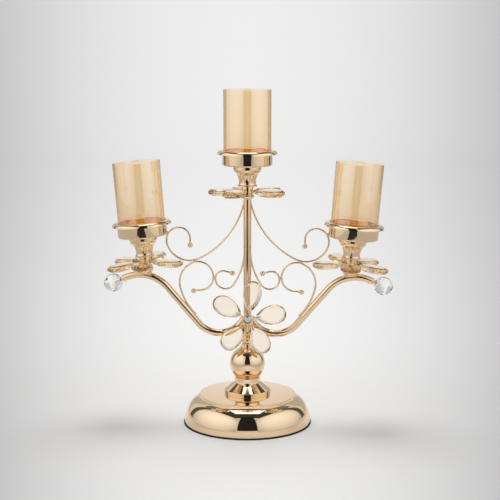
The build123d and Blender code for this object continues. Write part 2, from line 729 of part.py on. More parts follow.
def upper_scroll():
    """The long wire from the top of the column to the curl beside the dish."""
    inward = BentPath(*upper_tie, 180 + SCROLL_TIE_HEADING)
    inward.bend(UPPER_BELLY_RADIUS, -UPPER_BELLY_INNER_ANGLE)
    inward.bend_to(COLUMN_RADIUS - WIRE_RADIUS, upper_root)
    outward = BentPath(*upper_tie, SCROLL_TIE_HEADING)
    outward.bend(UPPER_BELLY_RADIUS, UPPER_BELLY_OUTER_ANGLE)
    outward.bend(UPPER_SIDE_RADIUS, UPPER_SIDE_ANGLE)
    outward.bend(UPPER_CURL_RADIUS, UPPER_CURL_ANGLE)
    outward.straight(SCROLL_TAIL_LENGTH)
    return inward, outward


def middle_scroll():
    """The wire from the arm, over the tie with the long wire, to the curl under it."""
    start = BentPath(*upper_tie, SCROLL_TIE_HEADING)
    tie = beside(start)
    foot_run = MIDDLE_FOOT_STATION * ARM_SLOPE_LENGTH
    slope = radians(ARM_SLOPE)
    foot_lift = ARM_RADIUS + WIRE_RADIUS / 2
    foot_x = arm_slope_start[0] + foot_run * cos(slope) - foot_lift * sin(slope)
    foot_z = arm_slope_start[1] + foot_run * sin(slope) + foot_lift * cos(slope)
    outward = BentPath(*tie, SCROLL_TIE_HEADING)
    outward.bend(MIDDLE_CROWN_RADIUS, -MIDDLE_CROWN_ANGLE)
    outward.bend(MIDDLE_SHOULDER_RADIUS, -MIDDLE_SHOULDER_ANGLE)
    outward.bend_to(foot_x, foot_z)
    inward = BentPath(*tie, 180 + SCROLL_TIE_HEADING)
    inward.bend(MIDDLE_CROWN_RADIUS, MIDDLE_TIE_ANGLE)
    next_tie = beside(inward)
    next_heading = inward.heading
    inward.bend(MIDDLE_CROWN_RADIUS, MIDDLE_TAIL_ANGLE)
    inward.bend(MIDDLE_CURL_RADIUS, MIDDLE_CURL_ANGLE)
    inward.straight(SCROLL_TAIL_LENGTH + WIRE_RADIUS)
    return outward, inward, next_tie, next_heading


def inner_scroll(tie, heading):
    """The small wire from the column, under the tie with the middle wire, to its own curl."""
    outward = BentPath(*tie, heading)
    outward.bend(INNER_BELLY_RADIUS, -INNER_BELLY_ANGLE)
    outward.bend_to(COLUMN_RADIUS - WIRE_RADIUS, inner_root)
    inward = BentPath(*tie, heading + 180)
    inward.bend(INNER_CURL_RADIUS, INNER_CURL_ANGLE)
    inward.straight(SCROLL_TAIL_LENGTH)
    return outward, inward


def scroll_wire(first, second):
    """One bent wire through both halves of its path."""
    return rod_along(Wire(first.edges + second.edges), WIRE_RADIUS)


def scroll_bead(path, wire):
    """The ball that finishes a scroll, slipped over the wire's end."""
    reach = SCROLL_BEAD_RADIUS - SCROLL_BEAD_GRIP
    x = path.x + reach * cos(radians(path.heading))
    z = path.z + reach * sin(radians(path.heading))
    return Pos(X=x, Z=z) * Sphere(SCROLL_BEAD_RADIUS) - wire


def solder_spot(x, z, *neighbours):
    """A bead of solder that fills the corner between two pieces."""
    spot = Pos(X=x, Z=z) * Sphere(SOLDER_RADIUS)
    for neighbour in neighbours:
        spot -= neighbour
    return max(spot.solids(), key=lambda s: s.volume)


def write(name, shape):
    export_step(shape, f"parts/{name}.step")


def write_pair(name, shape):
    write(f"{name}_right", shape)
    write(f"{name}_left", flip(shape))


def write_group(name, shapes):
    solids = [solid for shape in shapes for solid in shape.solids()]
    write(name, Compound(children=solids))


def write_base():
    write("base_pad", base_pad())
    write("base_bottom_plate", base_bottom_plate())
    write("base_dome", base_dome())
    write("base_top_plate", base_top_plate())
    write("base_cone", base_cone())
    write("base_ball", base_ball())
    write("column_collar", column_collar())
    write("column_tube", column_tube())
    write("column_cap", centre_seat * column_cap())
    write("tie_rod", tie_rod())
    write("base_nut", base_nut())


def write_arms():
    write_pair("arm", arm())
    boss = arm_boss()
    write_group("arm_bosses", [boss, flip(boss)])
    write_pair("end_ball", end_ball())
    stud = end_ball_stud()
    write_group("end_ball_studs", [stud, flip(stud)])


def write_cups():
    flowers = {"centre": CENTRE_PETALS, "left": LEFT_PETALS, "right": RIGHT_PETALS}
    parts = {"neck": cup_neck(), "dish": cup_dish(), "glass": glass_sleeve()}
    for side, seat in SEATS.items():
        for name, part in parts.items():
            write(f"{name}_{side}", seat * part)
        write(f"petal_hub_{side}", seat * petal_hub(flowers[side]))
        petals = flower(seat * Pos(Z=HUB_PETAL_HEIGHT), flowers[side])
        for number, crystal in enumerate(petals, 1):
            write(f"petal_{side}_{number}", crystal)
    screw = cup_screw()
    write_group("cup_screws", [seat * screw for seat in SEATS.values()])


def write_front_flower():
    write("front_bezel", front_bezel())
    write("front_stone", front_stone())
    for number, crystal in enumerate(flower(front_place, FRONT_PETALS), 1):
        write(f"petal_front_{number}", crystal)


def write_scrolls():
    upper_in, upper_out = upper_scroll()
    middle_out, middle_in, tie, heading = middle_scroll()
    inner_out, inner_in = inner_scroll(tie, heading)
    upper = scroll_wire(upper_in, upper_out) - column_bar
    middle = scroll_wire(middle_out, middle_in) - arm_bar
    inner = scroll_wire(inner_out, inner_in) - column_bar
    write_pair("scroll_upper", upper)
    write_pair("scroll_middle", middle)
    write_pair("scroll_inner", inner)
    beads = [scroll_bead(upper_out, upper), scroll_bead(middle_in, middle), scroll_bead(inner_in, inner)]
    write_group("scroll_beads", beads + [flip(bead) for bead in beads])
    lean = radians(SCROLL_TIE_HEADING - 90)
    half = WIRE_RADIUS + SOLDER_GAP / 2
    first = (upper_tie[0] + half * cos(lean), upper_tie[1] + half * sin(lean))
    across = radians(heading + 90)
    second = (tie[0] + half * cos(across), tie[1] + half * sin(across))
    spots = [solder_spot(*first, upper, middle), solder_spot(*second, middle, inner)]
    dish_body = right_seat * disc(DISH_RADIUS, dish_s, lip_s)
    spots.append(solder_spot(dish_corner.X, dish_corner.Z, upper, dish_body))
    write_group("solder_spots", spots + [flip(spot) for spot in spots])


os.makedirs("parts", exist_ok=True)
write_base()
write_arms()
write_cups()
write_front_flower()
write_scrolls()
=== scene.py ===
"""Looks of the table candelabra: smooth polished metal, tinted glass and cut crystal around the CAD frame.

The turned and bent pieces are rebuilt as exact surfaces of revolution and swept tubes, because their
mirror polish shows every facet of a coarse mesh. The cut crystals keep the flat faces of the CAD nodes.
Sizes are in millimetres, as in the part's source, and turn into metres where a mesh is written. The
finishes and the studio are in metres. Angles are written in degrees.
"""

import logging
from dataclasses import dataclass, field
from enum import Enum
from math import asin, atan2, cos, degrees, hypot, pi, radians, sin, sqrt
from typing import Iterable, Sequence

import bpy
import numpy as np
from mathutils import Matrix


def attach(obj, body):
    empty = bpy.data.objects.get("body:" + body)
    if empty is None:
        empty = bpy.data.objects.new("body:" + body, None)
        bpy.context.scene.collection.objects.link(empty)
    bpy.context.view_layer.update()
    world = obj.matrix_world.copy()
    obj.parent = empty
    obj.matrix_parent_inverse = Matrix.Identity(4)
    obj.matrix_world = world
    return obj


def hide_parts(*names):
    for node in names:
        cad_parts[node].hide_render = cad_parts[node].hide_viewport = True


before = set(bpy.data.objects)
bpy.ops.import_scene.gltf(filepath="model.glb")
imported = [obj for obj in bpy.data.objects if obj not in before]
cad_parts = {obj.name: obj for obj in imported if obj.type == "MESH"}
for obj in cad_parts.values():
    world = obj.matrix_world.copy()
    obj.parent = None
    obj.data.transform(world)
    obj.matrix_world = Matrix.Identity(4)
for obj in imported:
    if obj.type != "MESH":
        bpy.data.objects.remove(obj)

log = logging.getLogger("candelabra")

MM = 0.001
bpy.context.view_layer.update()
SHARP_ANGLE = radians(32)
# Steps round the axis of wide, middling and slim turned pieces, and round a thick bar.
WIDE, MIDDLING, SLIM, BAR = 256, 192, 96, 48
# Rings in the rounding at a bar's end.
END_RINGS = 5
# A bar that runs along Y by more than this share takes X as the guide for its rings.
ALONG_Y = 0.9
FLOAT, COLOR, VECTOR = "NodeSocketFloat", "NodeSocketColor", "NodeSocketVector"
# The Mix node's colour sockets, whose names its other sockets have too.
MIX_A, MIX_B, MIX_RESULT = 6, 7, 2

Pair = tuple[float, float]
Source = tuple[bpy.types.Node, str | int]


class Slot(Enum):
    """The record's material slots."""

    METAL = "polished_metal"
    CRYSTAL = "petal_crystal"
    AMBER = "amber_glass"
    CLEAR = "clear_crystal"
    STEEL = "plain_steel"
    PAD = "pad_rubber"


class Side(Enum):
    """The three cup stacks, by the name that their nodes end in."""

    CENTRE = "centre"
    LEFT = "left"
    RIGHT = "right"


# Surfaces


def arc(start: Sequence[float], middle: Sequence[float], end: Sequence[float], steps: int = 16) -> np.ndarray:
    """Points on the circle through three points of a profile.

    Args:
        start: first point as radius and height.
        middle: a point on the arc between the ends.
        end: last point.
        steps: number of pieces.

    Returns:
        An array of points from start to end.
    """
    a, b, c = (np.asarray(p, float) for p in (start, middle, end))
    system = 2 * np.array([b - a, c - a])
    centre = np.linalg.solve(system, [b @ b - a @ a, c @ c - a @ a])
    angles = [atan2(*(p - centre)[::-1]) for p in (a, b, c)]
    turn = (angles[2] - angles[0]) % (2 * pi)
    if (angles[1] - angles[0]) % (2 * pi) > turn:
        turn -= 2 * pi
    t = angles[0] + turn * np.linspace(0, 1, steps + 1)
    return centre + np.linalg.norm(a - centre) * np.stack([np.cos(t), np.sin(t)], 1)


def eased(corners: Sequence[Sequence[float]], steps: int = 5) -> np.ndarray:
    """A closed profile whose corners are rounded, each by its own radius.

    Args:
        corners: points as radius, height and, where the corner is rounded, its fillet radius.
        steps: pieces in each rounded corner.

    Returns:
        The profile's points, without repeating the first.
    """
    points = np.array([c[:2] for c in corners], float)
    radii = [c[2] if len(c) > 2 else 0.0 for c in corners]
    pieces = []
    for point, before, after, radius in zip(points, np.roll(points, 1, 0), np.roll(points, -1, 0), radii):
        if radius <= 0:
            pieces.append(point[None])
            continue
        u = (before - point) / np.linalg.norm(before - point)
        v = (after - point) / np.linalg.norm(after - point)
        half = np.arccos(np.clip(u @ v, -1, 1)) / 2
        reach = radius / np.tan(half)
        bisector = (u + v) / np.linalg.norm(u + v)
        centre = point + bisector * radius / np.sin(half)
        pieces.append(arc(point + u * reach, centre - bisector * radius, point + v * reach, steps))
    return np.vstack(pieces)


@dataclass
class Surface:
    """Vertices and faces of one or more closed skins, in millimetres."""

    points: np.ndarray = field(default_factory=lambda: np.zeros((0, 3)))
    faces: list[list[int]] = field(default_factory=list)

    def join(self, other: "Surface") -> "Surface":
        """This surface and another as one mesh."""
        moved = [[i + len(self.points) for i in face] for face in other.faces]
        return Surface(np.vstack([self.points, other.points]), self.faces + moved)

    def placed(self, matrix: np.ndarray) -> "Surface":
        """The surface in another place, with its faces still outward.

        Args:
            matrix: 4 by 4, in millimetres.

        Returns:
            The moved surface.
        """
        points = self.points @ matrix[:3, :3].T + matrix[:3, 3]
        faces = self.faces if np.linalg.det(matrix[:3, :3]) > 0 else [face[::-1] for face in self.faces]
        return Surface(points, faces)


def skin(rings: np.ndarray, closed: bool) -> Surface:
    """Quads between neighbouring rings, and a fan over each open end.

    Args:
        rings: points by ring and by place around it.
        closed: whether the last ring joins the first, so that there are no ends.

    Returns:
        A surface whose faces look outward where the rings run to the right of their own turn.
    """
    count, around = rings.shape[:2]
    index = np.arange(count * around).reshape(count, around)
    low = index if closed else index[:-1]
    high = np.roll(index, -1, 0) if closed else index[1:]
    quads = np.stack([low, np.roll(low, -1, 1), np.roll(high, -1, 1), high], -1).reshape(-1, 4)
    points = rings.reshape(-1, 3)
    faces = quads.tolist()
    if not closed:
        first, last = index[0], index[-1]
        fans = ((len(points), np.roll(first, -1), first), (len(points) + 1, last, np.roll(last, -1)))
        for pole, here, there in fans:
            faces += np.stack([np.full(around, pole), here, there], 1).tolist()
        points = np.vstack([points, rings[0].mean(0), rings[-1].mean(0)])
    return Surface(points, faces)


def turned(profile: np.ndarray, around: int, closed: bool = True) -> Surface:
    """A profile of radius and height spun about the upright axis: x = r cos a, y = r sin a, z = h.

    Args:
        profile: points in the order of the outline.
        around: number of steps round the axis.
        closed: a closed ring section, or an open one whose ends lie on the axis.

    Returns:
        The spun surface with its faces outward.
    """
    r, z = profile[:, 0], profile[:, 1]
    area = np.sum(r * np.roll(z, -1) - np.roll(r, -1) * z)
    if area < 0:
        r, z = r[::-1], z[::-1]
    a = np.linspace(0, 2 * pi, around, endpoint=False)
    rings = np.stack([np.outer(r, np.cos(a)), np.outer(r, np.sin(a)), np.outer(z, np.ones(around))], -1)
    return skin(rings, closed)


def swept(path: np.ndarray, radius: float, around: int = 24, edge: float = 0.0) -> Surface:
    """A round bar along a path: each ring stands across the path's local direction.

    The ring is c + R (cos a n + sin a b), with b square to the path and n = b x tangent.

    Args:
        path: centreline points.
        radius: of the bar.
        around: steps round the bar.
        edge: size of the rounding at both ends.

    Returns:
        The bar with closed ends.
    """
    tangent = np.gradient(path, axis=0)
    tangent /= np.linalg.norm(tangent, axis=1, keepdims=True)
    guide = np.array([0.0, 1.0, 0.0]) if abs(tangent[:, 1]).max() < ALONG_Y else np.array([1.0, 0.0, 0.0])
    n = np.cross(guide, tangent)
    n /= np.linalg.norm(n, axis=1, keepdims=True)
    b = np.cross(tangent, n)
    scale = np.full(len(path), radius)
    if edge > 0:
        turn = np.linspace(0, pi / 2, END_RINGS, endpoint=False)
        inset = radius - edge + edge * np.sin(turn)
        lift = edge * (1 - np.cos(turn))
        start = path[0] + tangent[0] * lift[:, None]
        end = path[-1] - tangent[-1] * lift[::-1, None]
        last = len(path) - 1
        across = np.concatenate([np.full(END_RINGS, 0), np.arange(1, last), np.full(END_RINGS, last)])
        n, b = n[across], b[across]
        scale = np.concatenate([inset, scale[1:-1], inset[::-1]])
        path = np.vstack([start, path[1:-1], end])
    a = np.linspace(0, 2 * pi, around, endpoint=False)
    ring = np.cos(a)[None, :, None] * n[:, None] + np.sin(a)[None, :, None] * b[:, None]
    return skin(path[:, None] + scale[:, None, None] * ring, closed=False)


def ball(centre: Sequence[float], radius: float, around: int = 32) -> Surface:
    """A sphere: the half circle r = R cos t, h = R sin t, spun.

    Args:
        centre: of the ball.
        radius: of the ball.
        around: steps round the axis, twice the steps from pole to pole.

    Returns:
        The closed ball.
    """
    t = np.linspace(-pi / 2, pi / 2, around // 2 + 1)[1:-1]
    profile = np.stack([radius * np.cos(t), radius * np.sin(t)], 1)
    sphere = turned(profile, around, closed=False)
    sphere.points[-2:] = [[0, 0, -radius], [0, 0, radius]]
    return Surface(sphere.points + np.asarray(centre, float), sphere.faces)


def place(x: float = 0.0, y: float = 0.0, z: float = 0.0, lean: float = 0.0) -> np.ndarray:
    """A 4 by 4 matrix that leans a piece towards +X and then moves it."""
    c, s = cos(radians(lean)), sin(radians(lean))
    return np.array([[c, 0, s, x], [0, 1, 0, y], [-s, 0, c, z], [0, 0, 0, 1.0]])


MIRROR = np.diag([-1.0, 1.0, 1.0, 1.0])
HANDS = ((Side.RIGHT, np.eye(4)), (Side.LEFT, MIRROR))


class BentPath:
    """A centreline of straight runs and tangent arcs in the upright plane through the arms."""

    # Longest piece of a run, largest piece of an arc, and the fewest pieces of each.
    RUN_PIECE, ARC_PIECE = 4.0, 2.5
    RUN_LEAST, ARC_LEAST = 2, 3

    def __init__(self, x: float, z: float, heading: float) -> None:
        """Starts at a point, with a heading that turns from +X towards +Z."""
        self.x, self.z, self.heading = x, z, heading
        self.points: list[np.ndarray] = [np.array([[x, 0.0, z]])]

    def straight(self, length: float) -> "BentPath":
        """Runs straight on: p = start + t (cos h, 0, sin h).

        Args:
            length: of the run.

        Returns:
            The path itself.
        """
        pieces = max(self.RUN_LEAST, int(length / self.RUN_PIECE))
        t = np.linspace(0, 1, pieces + 1)[1:, None] * length
        way = np.array([cos(radians(self.heading)), 0.0, sin(radians(self.heading))])
        run = np.array([self.x, 0.0, self.z]) + t * way
        self.points.append(run)
        self.x, self.z = run[-1, 0], run[-1, 2]
        return self

    def bend(self, radius: float, angle: float) -> "BentPath":
        """Turns on a tangent arc: p = centre + R (cos t, 0, sin t).

        Args:
            radius: of the arc.
            angle: positive to the left and negative to the right.

        Returns:
            The path itself.
        """
        side = 1 if angle > 0 else -1
        normal = radians(self.heading) + side * pi / 2
        cx, cz = self.x + radius * cos(normal), self.z + radius * sin(normal)
        pieces = max(self.ARC_LEAST, int(abs(angle) / self.ARC_PIECE))
        t = normal + pi + radians(angle) * np.linspace(0, 1, pieces + 1)[1:]
        self.points.append(np.stack([cx + radius * np.cos(t), 0 * t, cz + radius * np.sin(t)], 1))
        self.x, self.z = self.points[-1][-1, 0], self.points[-1][-1, 2]
        self.heading += angle
        return self

    def bends(self, *turns: Pair) -> "BentPath":
        """Turns on one arc after another.

        Args:
            turns: radius and angle of each arc.

        Returns:
            The path itself.
        """
        for radius, angle in turns:
            self.bend(radius, angle)
        return self

    def bend_to(self, x: float, z: float) -> "BentPath":
        """Turns on the one tangent arc that ends at a point.

        Args:
            x: of the point.
            z: of the point.

        Returns:
            The path itself.
        """
        reach = hypot(x - self.x, z - self.z)
        angle = 2 * ((degrees(atan2(z - self.z, x - self.x)) - self.heading + 180) % 360 - 180)
        return self.bend(reach / (2 * abs(sin(radians(angle / 2)))), angle)

    def line(self) -> np.ndarray:
        """The centreline's points."""
        return np.vstack(self.points)

    def onto(self, other: "BentPath") -> np.ndarray:
        """The centreline from this path's end back to its start, and on along another."""
        return np.vstack([self.line()[::-1], other.line()[1:]])


# Finishes


class Graph:
    """Adds nodes to a tree and joins them by socket name."""

    def __init__(self, tree: bpy.types.NodeTree) -> None:
        """Takes the tree that it fills."""
        self.tree = tree

    def add(self, kind: str, settings: dict | None = None, **values: object) -> bpy.types.Node:
        """A new node, with its settings and its input values set.

        Args:
            kind: the node's type name.
            settings: properties of the node itself.
            values: input values by socket name, with blanks written as underscores.

        Returns:
            The node.
        """
        node = self.tree.nodes.new(kind)
        for name, value in (settings or {}).items():
            setattr(node, name, value)
        for name, value in values.items():
            node.inputs[name.replace("_", " ")].default_value = value
        return node

    def link(self, source: bpy.types.Node, out: str | int, target: bpy.types.Node, into: str | int) -> None:
        """Joins an output to an input."""
        self.tree.links.new(source.outputs[out], target.inputs[into])

    def math(self, operation: str, *inputs: float | Source, clamp: bool = False) -> Source:
        """A Math node on numbers and on the outputs of other nodes.

        Args:
            operation: the node's operation.
            inputs: numbers, or a node and its output, in the order of the sockets.
            clamp: whether the result stays between 0 and 1.

        Returns:
            The node and its output.
        """
        node = self.add("ShaderNodeMath", {"operation": operation, "use_clamp": clamp})
        for into, value in enumerate(inputs):
            if isinstance(value, tuple):
                self.link(*value, node, into)
            else:
                node.inputs[into].default_value = value
        return node, 0


def effect_group(
    name: str, inputs: Iterable[tuple[str, str, object]], outputs: Iterable[tuple[str, str]]
) -> tuple[bpy.types.NodeTree, Graph, bpy.types.Node, bpy.types.Node]:
    """An empty node group with named sockets.

    Args:
        name: of the group.
        inputs: socket names, types and default values.
        outputs: socket names and types.

    Returns:
        The group's tree, its graph and its input and output nodes.
    """
    tree = bpy.data.node_groups.new(name, "ShaderNodeTree")
    for label, kind, value in inputs:
        socket = tree.interface.new_socket(label, in_out="INPUT", socket_type=kind)
        socket.default_value = value
    for label, kind in outputs:
        tree.interface.new_socket(label, in_out="OUTPUT", socket_type=kind)
    graph = Graph(tree)
    return tree, graph, graph.add("NodeGroupInput"), graph.add("NodeGroupOutput")


def handling_marks() -> bpy.types.NodeTree:
    """Faint unevenness of a polished surface: a roughness and a normal from noise in object space.

    Returns:
        The node group.
    """
    inputs = [
        ("Scale", FLOAT, 60.0),
        ("Roughness", FLOAT, 0.05),
        ("Spread", FLOAT, 0.04),
        ("Waviness", FLOAT, 0.02),
    ]
    outputs = [("Roughness", FLOAT), ("Normal", VECTOR)]
    tree, g, given, result = effect_group("Handling marks", inputs, outputs)
    where = g.add("ShaderNodeTexCoord")
    fine = g.add("ShaderNodeTexNoise", Detail=3.0, Roughness=0.6)
    g.link(where, "Object", fine, "Vector")
    g.link(given, "Scale", fine, "Scale")
    rough = g.math("MULTIPLY_ADD", (fine, "Fac"), (given, "Spread"), (given, "Roughness"))
    g.link(*rough, result, "Roughness")
    broad = g.add("ShaderNodeTexNoise", Scale=22.0, Detail=1.0)
    g.link(where, "Object", broad, "Vector")
    bump = g.add("ShaderNodeBump", Distance=0.0006)
    g.link(broad, "Fac", bump, "Height")
    g.link(given, "Waviness", bump, "Strength")
    g.link(bump, "Normal", result, "Normal")
    return tree


def backdrop_painted_shade() -> bpy.types.NodeTree:
    """The studio sweep's colour, and the share of its light that the lamp doesn't give it.

    The colour is painted shade: it goes from Inner to Outer with the square of (x + Lean y) / (y + Depth) /
    Spread, so that the sweep darkens towards the sides as if the light fell off there, and the pale path
    widens with the distance and runs straight away from the camera. The share is 1 - 1 / (1 + (x^2 + y^2) /
    Height^2)^2, which is what a lamp at that height over the object leaves dark on the floor round it.

    Returns:
        The node group.
    """
    inputs = [
        ("Depth", FLOAT, 1.7),
        ("Lean", FLOAT, 0.075),
        ("Spread", FLOAT, 0.21),
        ("Height", FLOAT, 1.25),
        ("Inner", COLOR, (0.845, 0.845, 0.85, 1)),
        ("Outer", COLOR, (0.50, 0.50, 0.505, 1)),
    ]
    tree, g, given, result = effect_group("Backdrop painted shade", inputs, [("Color", COLOR), ("Share", FLOAT)])
    parts = g.add("ShaderNodeSeparateXYZ")
    g.link(g.add("ShaderNodeTexCoord"), "Object", parts, "Vector")
    x, y, height = (parts, "X"), (parts, "Y"), (given, "Height")
    across = g.math("MULTIPLY_ADD", y, (given, "Lean"), x)
    side = g.math("DIVIDE", across, g.math("ADD", y, (given, "Depth")))
    share = g.math("DIVIDE", side, (given, "Spread"))
    # Painted shade: the colour darkens from Inner to Outer towards the sides, in place of the light falling
    # off there.
    mix = g.add("ShaderNodeMix", {"data_type": "RGBA"})
    g.link(*g.math("MULTIPLY", share, share, clamp=True), mix, "Factor")
    g.link(given, "Inner", mix, MIX_A)
    g.link(given, "Outer", mix, MIX_B)
    g.link(mix, MIX_RESULT, result, "Color")
    squares = g.math("MULTIPLY_ADD", x, x, g.math("MULTIPLY", y, y))
    slant = g.math("DIVIDE", squares, g.math("MULTIPLY", height, height))
    lit = g.math("POWER", g.math("ADD", slant, 1.0), -2.0)
    g.link(*g.math("SUBTRACT", 1.0, lit, clamp=True), result, "Share")
    return tree


def card_glow() -> bpy.types.NodeTree:
    """A studio card's radiance: Middle in its middle, changing to Rim with the square of the way there.

    Returns:
        The node group.
    """
    inputs = [("Half Size", VECTOR, (1.0, 1.0, 1.0)), ("Middle", FLOAT, 1.0), ("Rim", FLOAT, 1.0)]
    tree, g, given, result = effect_group("Card glow", inputs, [("Radiance", FLOAT)])
    share = g.add("ShaderNodeVectorMath", {"operation": "DIVIDE"})
    g.link(g.add("ShaderNodeTexCoord"), "Object", share, 0)
    g.link(given, "Half Size", share, 1)
    square = g.add("ShaderNodeVectorMath", {"operation": "DOT_PRODUCT"})
    g.link(share, "Vector", square, 0)
    g.link(share, "Vector", square, 1)
    drop = g.math("SUBTRACT", (given, "Rim"), (given, "Middle"))
    g.link(*g.math("MULTIPLY_ADD", (square, "Value"), drop, (given, "Middle")), result, "Radiance")
    return tree


def blank_material(name: str) -> tuple[bpy.types.Material, Graph]:
    """A material without nodes.

    Args:
        name: of the material.

    Returns:
        The material and the graph that fills it.
    """
    material = bpy.data.materials.new(name)
    material.use_nodes = True
    material.node_tree.nodes.clear()
    return material, Graph(material.node_tree)


@dataclass(frozen=True)
class Finish:
    """One material: a principled surface fed by the shared effects.

    Attributes:
        slot: the record's slot.
        color: linear base colour.
        metallic: 1 for bare metal.
        roughness: lowest roughness.
        transmission: 1 for glass.
        ior: index of refraction.
        waviness: strength of the faint unevenness.
        spread: how much the marks add to the roughness.
        depth_tint: colour that deepens with the thickness of glass, or none.
        density: how fast it deepens, per metre.
        lustre: colour of the thin mirror film on glass, or none.
        variant: word that sets it apart from the slot's plain finish.
    """

    slot: Slot
    color: tuple[float, float, float]
    metallic: float = 0.0
    roughness: float = 0.04
    transmission: float = 0.0
    ior: float = 1.5
    waviness: float = 0.0
    spread: float = 0.0
    depth_tint: tuple[float, float, float] | None = None
    density: float = 0.0
    lustre: tuple[float, float, float] | None = None
    variant: str = ""

    def build(self, marks: bpy.types.NodeTree) -> bpy.types.Material:
        """Makes the material.

        Args:
            marks: the group of the handling marks.

        Returns:
            The Blender material for this finish.
        """
        material, g = blank_material(self.slot.value + self.variant)
        out = g.add("ShaderNodeOutputMaterial")
        shader = g.add(
            "ShaderNodeBsdfPrincipled",
            Base_Color=(*self.color, 1.0),
            Metallic=self.metallic,
            Roughness=self.roughness,
            IOR=self.ior,
            Transmission_Weight=self.transmission,
        )
        if self.spread > 0 or self.waviness > 0:
            values = {"Roughness": self.roughness, "Spread": self.spread, "Waviness": self.waviness}
            group = g.add("ShaderNodeGroup", {"node_tree": marks}, **values)
            g.link(group, "Roughness", shader, "Roughness")
            g.link(group, "Normal", shader, "Normal")
        g.link(self.filmed(g, shader) if self.lustre else shader, 0, out, "Surface")
        if self.depth_tint:
            inside = g.add("ShaderNodeVolumeAbsorption", Color=(*self.depth_tint, 1.0), Density=self.density)
            g.link(inside, "Volume", out, "Volume")
        material.diffuse_color = (*self.color, 1.0)
        return material

    def filmed(self, g: Graph, shader: bpy.types.Node) -> bpy.types.Node:
        """Adds the lustre film on the glass's outward faces.

        Args:
            g: the material's graph.
            shader: the glass without the film.

        Returns:
            The shader of both.
        """
        outer = g.math("SUBTRACT", 1.0, (g.add("ShaderNodeNewGeometry"), "Backfacing"))
        tint = g.add("ShaderNodeVectorMath", {"operation": "SCALE"})
        tint.inputs[0].default_value = self.lustre
        g.link(*outer, tint, "Scale")
        film = g.add("ShaderNodeBsdfAnisotropic", Roughness=0.0)
        g.link(tint, "Vector", film, "Color")
        both = g.add("ShaderNodeAddShader")
        g.link(shader, "BSDF", both, 0)
        g.link(film, "BSDF", both, 1)
        return both


FINISHES = (
    Finish(Slot.METAL, (0.93, 0.70, 0.455), metallic=1.0, roughness=0.03, waviness=0.02, spread=0.04),
    Finish(
        Slot.CRYSTAL,
        (0.99, 0.975, 0.95),
        transmission=1.0,
        roughness=0.0,
        ior=1.44,
        depth_tint=(0.96, 0.68, 0.20),
        density=34.0,
    ),
    Finish(
        Slot.AMBER,
        (0.885, 0.79, 0.665),
        roughness=0.0,
        transmission=1.0,
        ior=1.12,
        depth_tint=(0.905, 0.65, 0.14),
        density=140.0,
        lustre=(0.15, 0.19, 0.225),
    ),
    Finish(Slot.CLEAR, (0.995, 0.995, 0.99), roughness=0.0, transmission=1.0, ior=1.44),
    Finish(Slot.CLEAR, (0.60, 0.60, 0.60), metallic=1.0, roughness=0.12, variant="_foiled"),
    Finish(Slot.STEEL, (0.62, 0.6, 0.57), metallic=1.0, roughness=0.3, spread=0.1),
    Finish(Slot.PAD, (0.012, 0.010, 0.008), roughness=0.85, spread=0.1),
)


class Workshop:
    """Keeps the finishes and turns surfaces into pieces that ride on the frame."""

    def __init__(self) -> None:
        """Makes every finish."""
        marks = handling_marks()
        self.materials = {(finish.slot, finish.variant): finish.build(marks) for finish in FINISHES}

    def piece(self, name: str, surface: Surface, slot: Slot, body: str, *nodes: str) -> None:
        """Makes a smooth piece that stands for CAD nodes.

        Args:
            name: of the object.
            surface: in millimetres, in the row frame.
            slot: its finish.
            body: the CAD body it rides on.
            nodes: the CAD nodes that it replaces.
        """
        mesh = bpy.data.meshes.new(name)
        mesh.from_pydata(surface.points * MM, [], surface.faces)
        mesh.shade_smooth()
        mesh.set_sharp_from_angle(angle=SHARP_ANGLE)
        mesh.materials.append(self.materials[slot, ""])
        obj = bpy.data.objects.new(name, mesh)
        bpy.context.scene.collection.objects.link(obj)
        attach(obj, body)
        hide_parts(*nodes)
        log.info("%s stands for %s, %d faces", name, ", ".join(nodes), len(mesh.polygons))

    def metal(self, name: str, surface: Surface, *nodes: str) -> None:
        """Makes a piece of the stand in polished metal."""
        self.piece(name, surface, Slot.METAL, "stand", *nodes)

    def keep(self, node: str, slot: Slot, variant: str = "") -> None:
        """Gives a CAD node its finish and shows it as it is.

        Args:
            node: the CAD node.
            slot: its finish.
            variant: word that sets the finish apart from the slot's plain one.
        """
        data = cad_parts[node].data
        data.materials.clear()
        data.materials.append(self.materials[slot, variant])
        log.info("%s keeps its CAD mesh", node)


# The candelabra


@dataclass(frozen=True)
class BaseSizes:
    """The round base: pad, dome, lid, cone and ball, bottom to top."""

    pad_radius: float = 81.5
    pad_thickness: float = 2.0
    pad_hole: float = 16.0
    pad_edge: float = 0.4
    dome_radius: float = 80.5
    dome_height: float = 32.0
    rim_height: float = 1.0
    shoulder: float = 25.0
    sheet: float = 1.2
    step_radius: float = 61.5
    step_height: float = 4.0
    step_edge: float = 0.8
    rod_hole: float = 3.3
    cone_radius: float = 29.2
    cone_band: float = 5.4
    cone_height: float = 15.6
    cone_edge: float = 1.0
    cone_throat: float = 1.6
    cone_ends: float = 0.3
    collar_radius: float = 16.4
    collar_height: float = 6.0
    ball_radius: float = 22.4
    ball_seat: float = 14.0
    neck_radius: float = 7.2
    neck_rise: float = 26.8
    bead_radius: float = 7.1
    groove_radius: float = 5.9
    bead_height: float = 5.0
    bead_hole: float = 4.0
    beads: int = 3


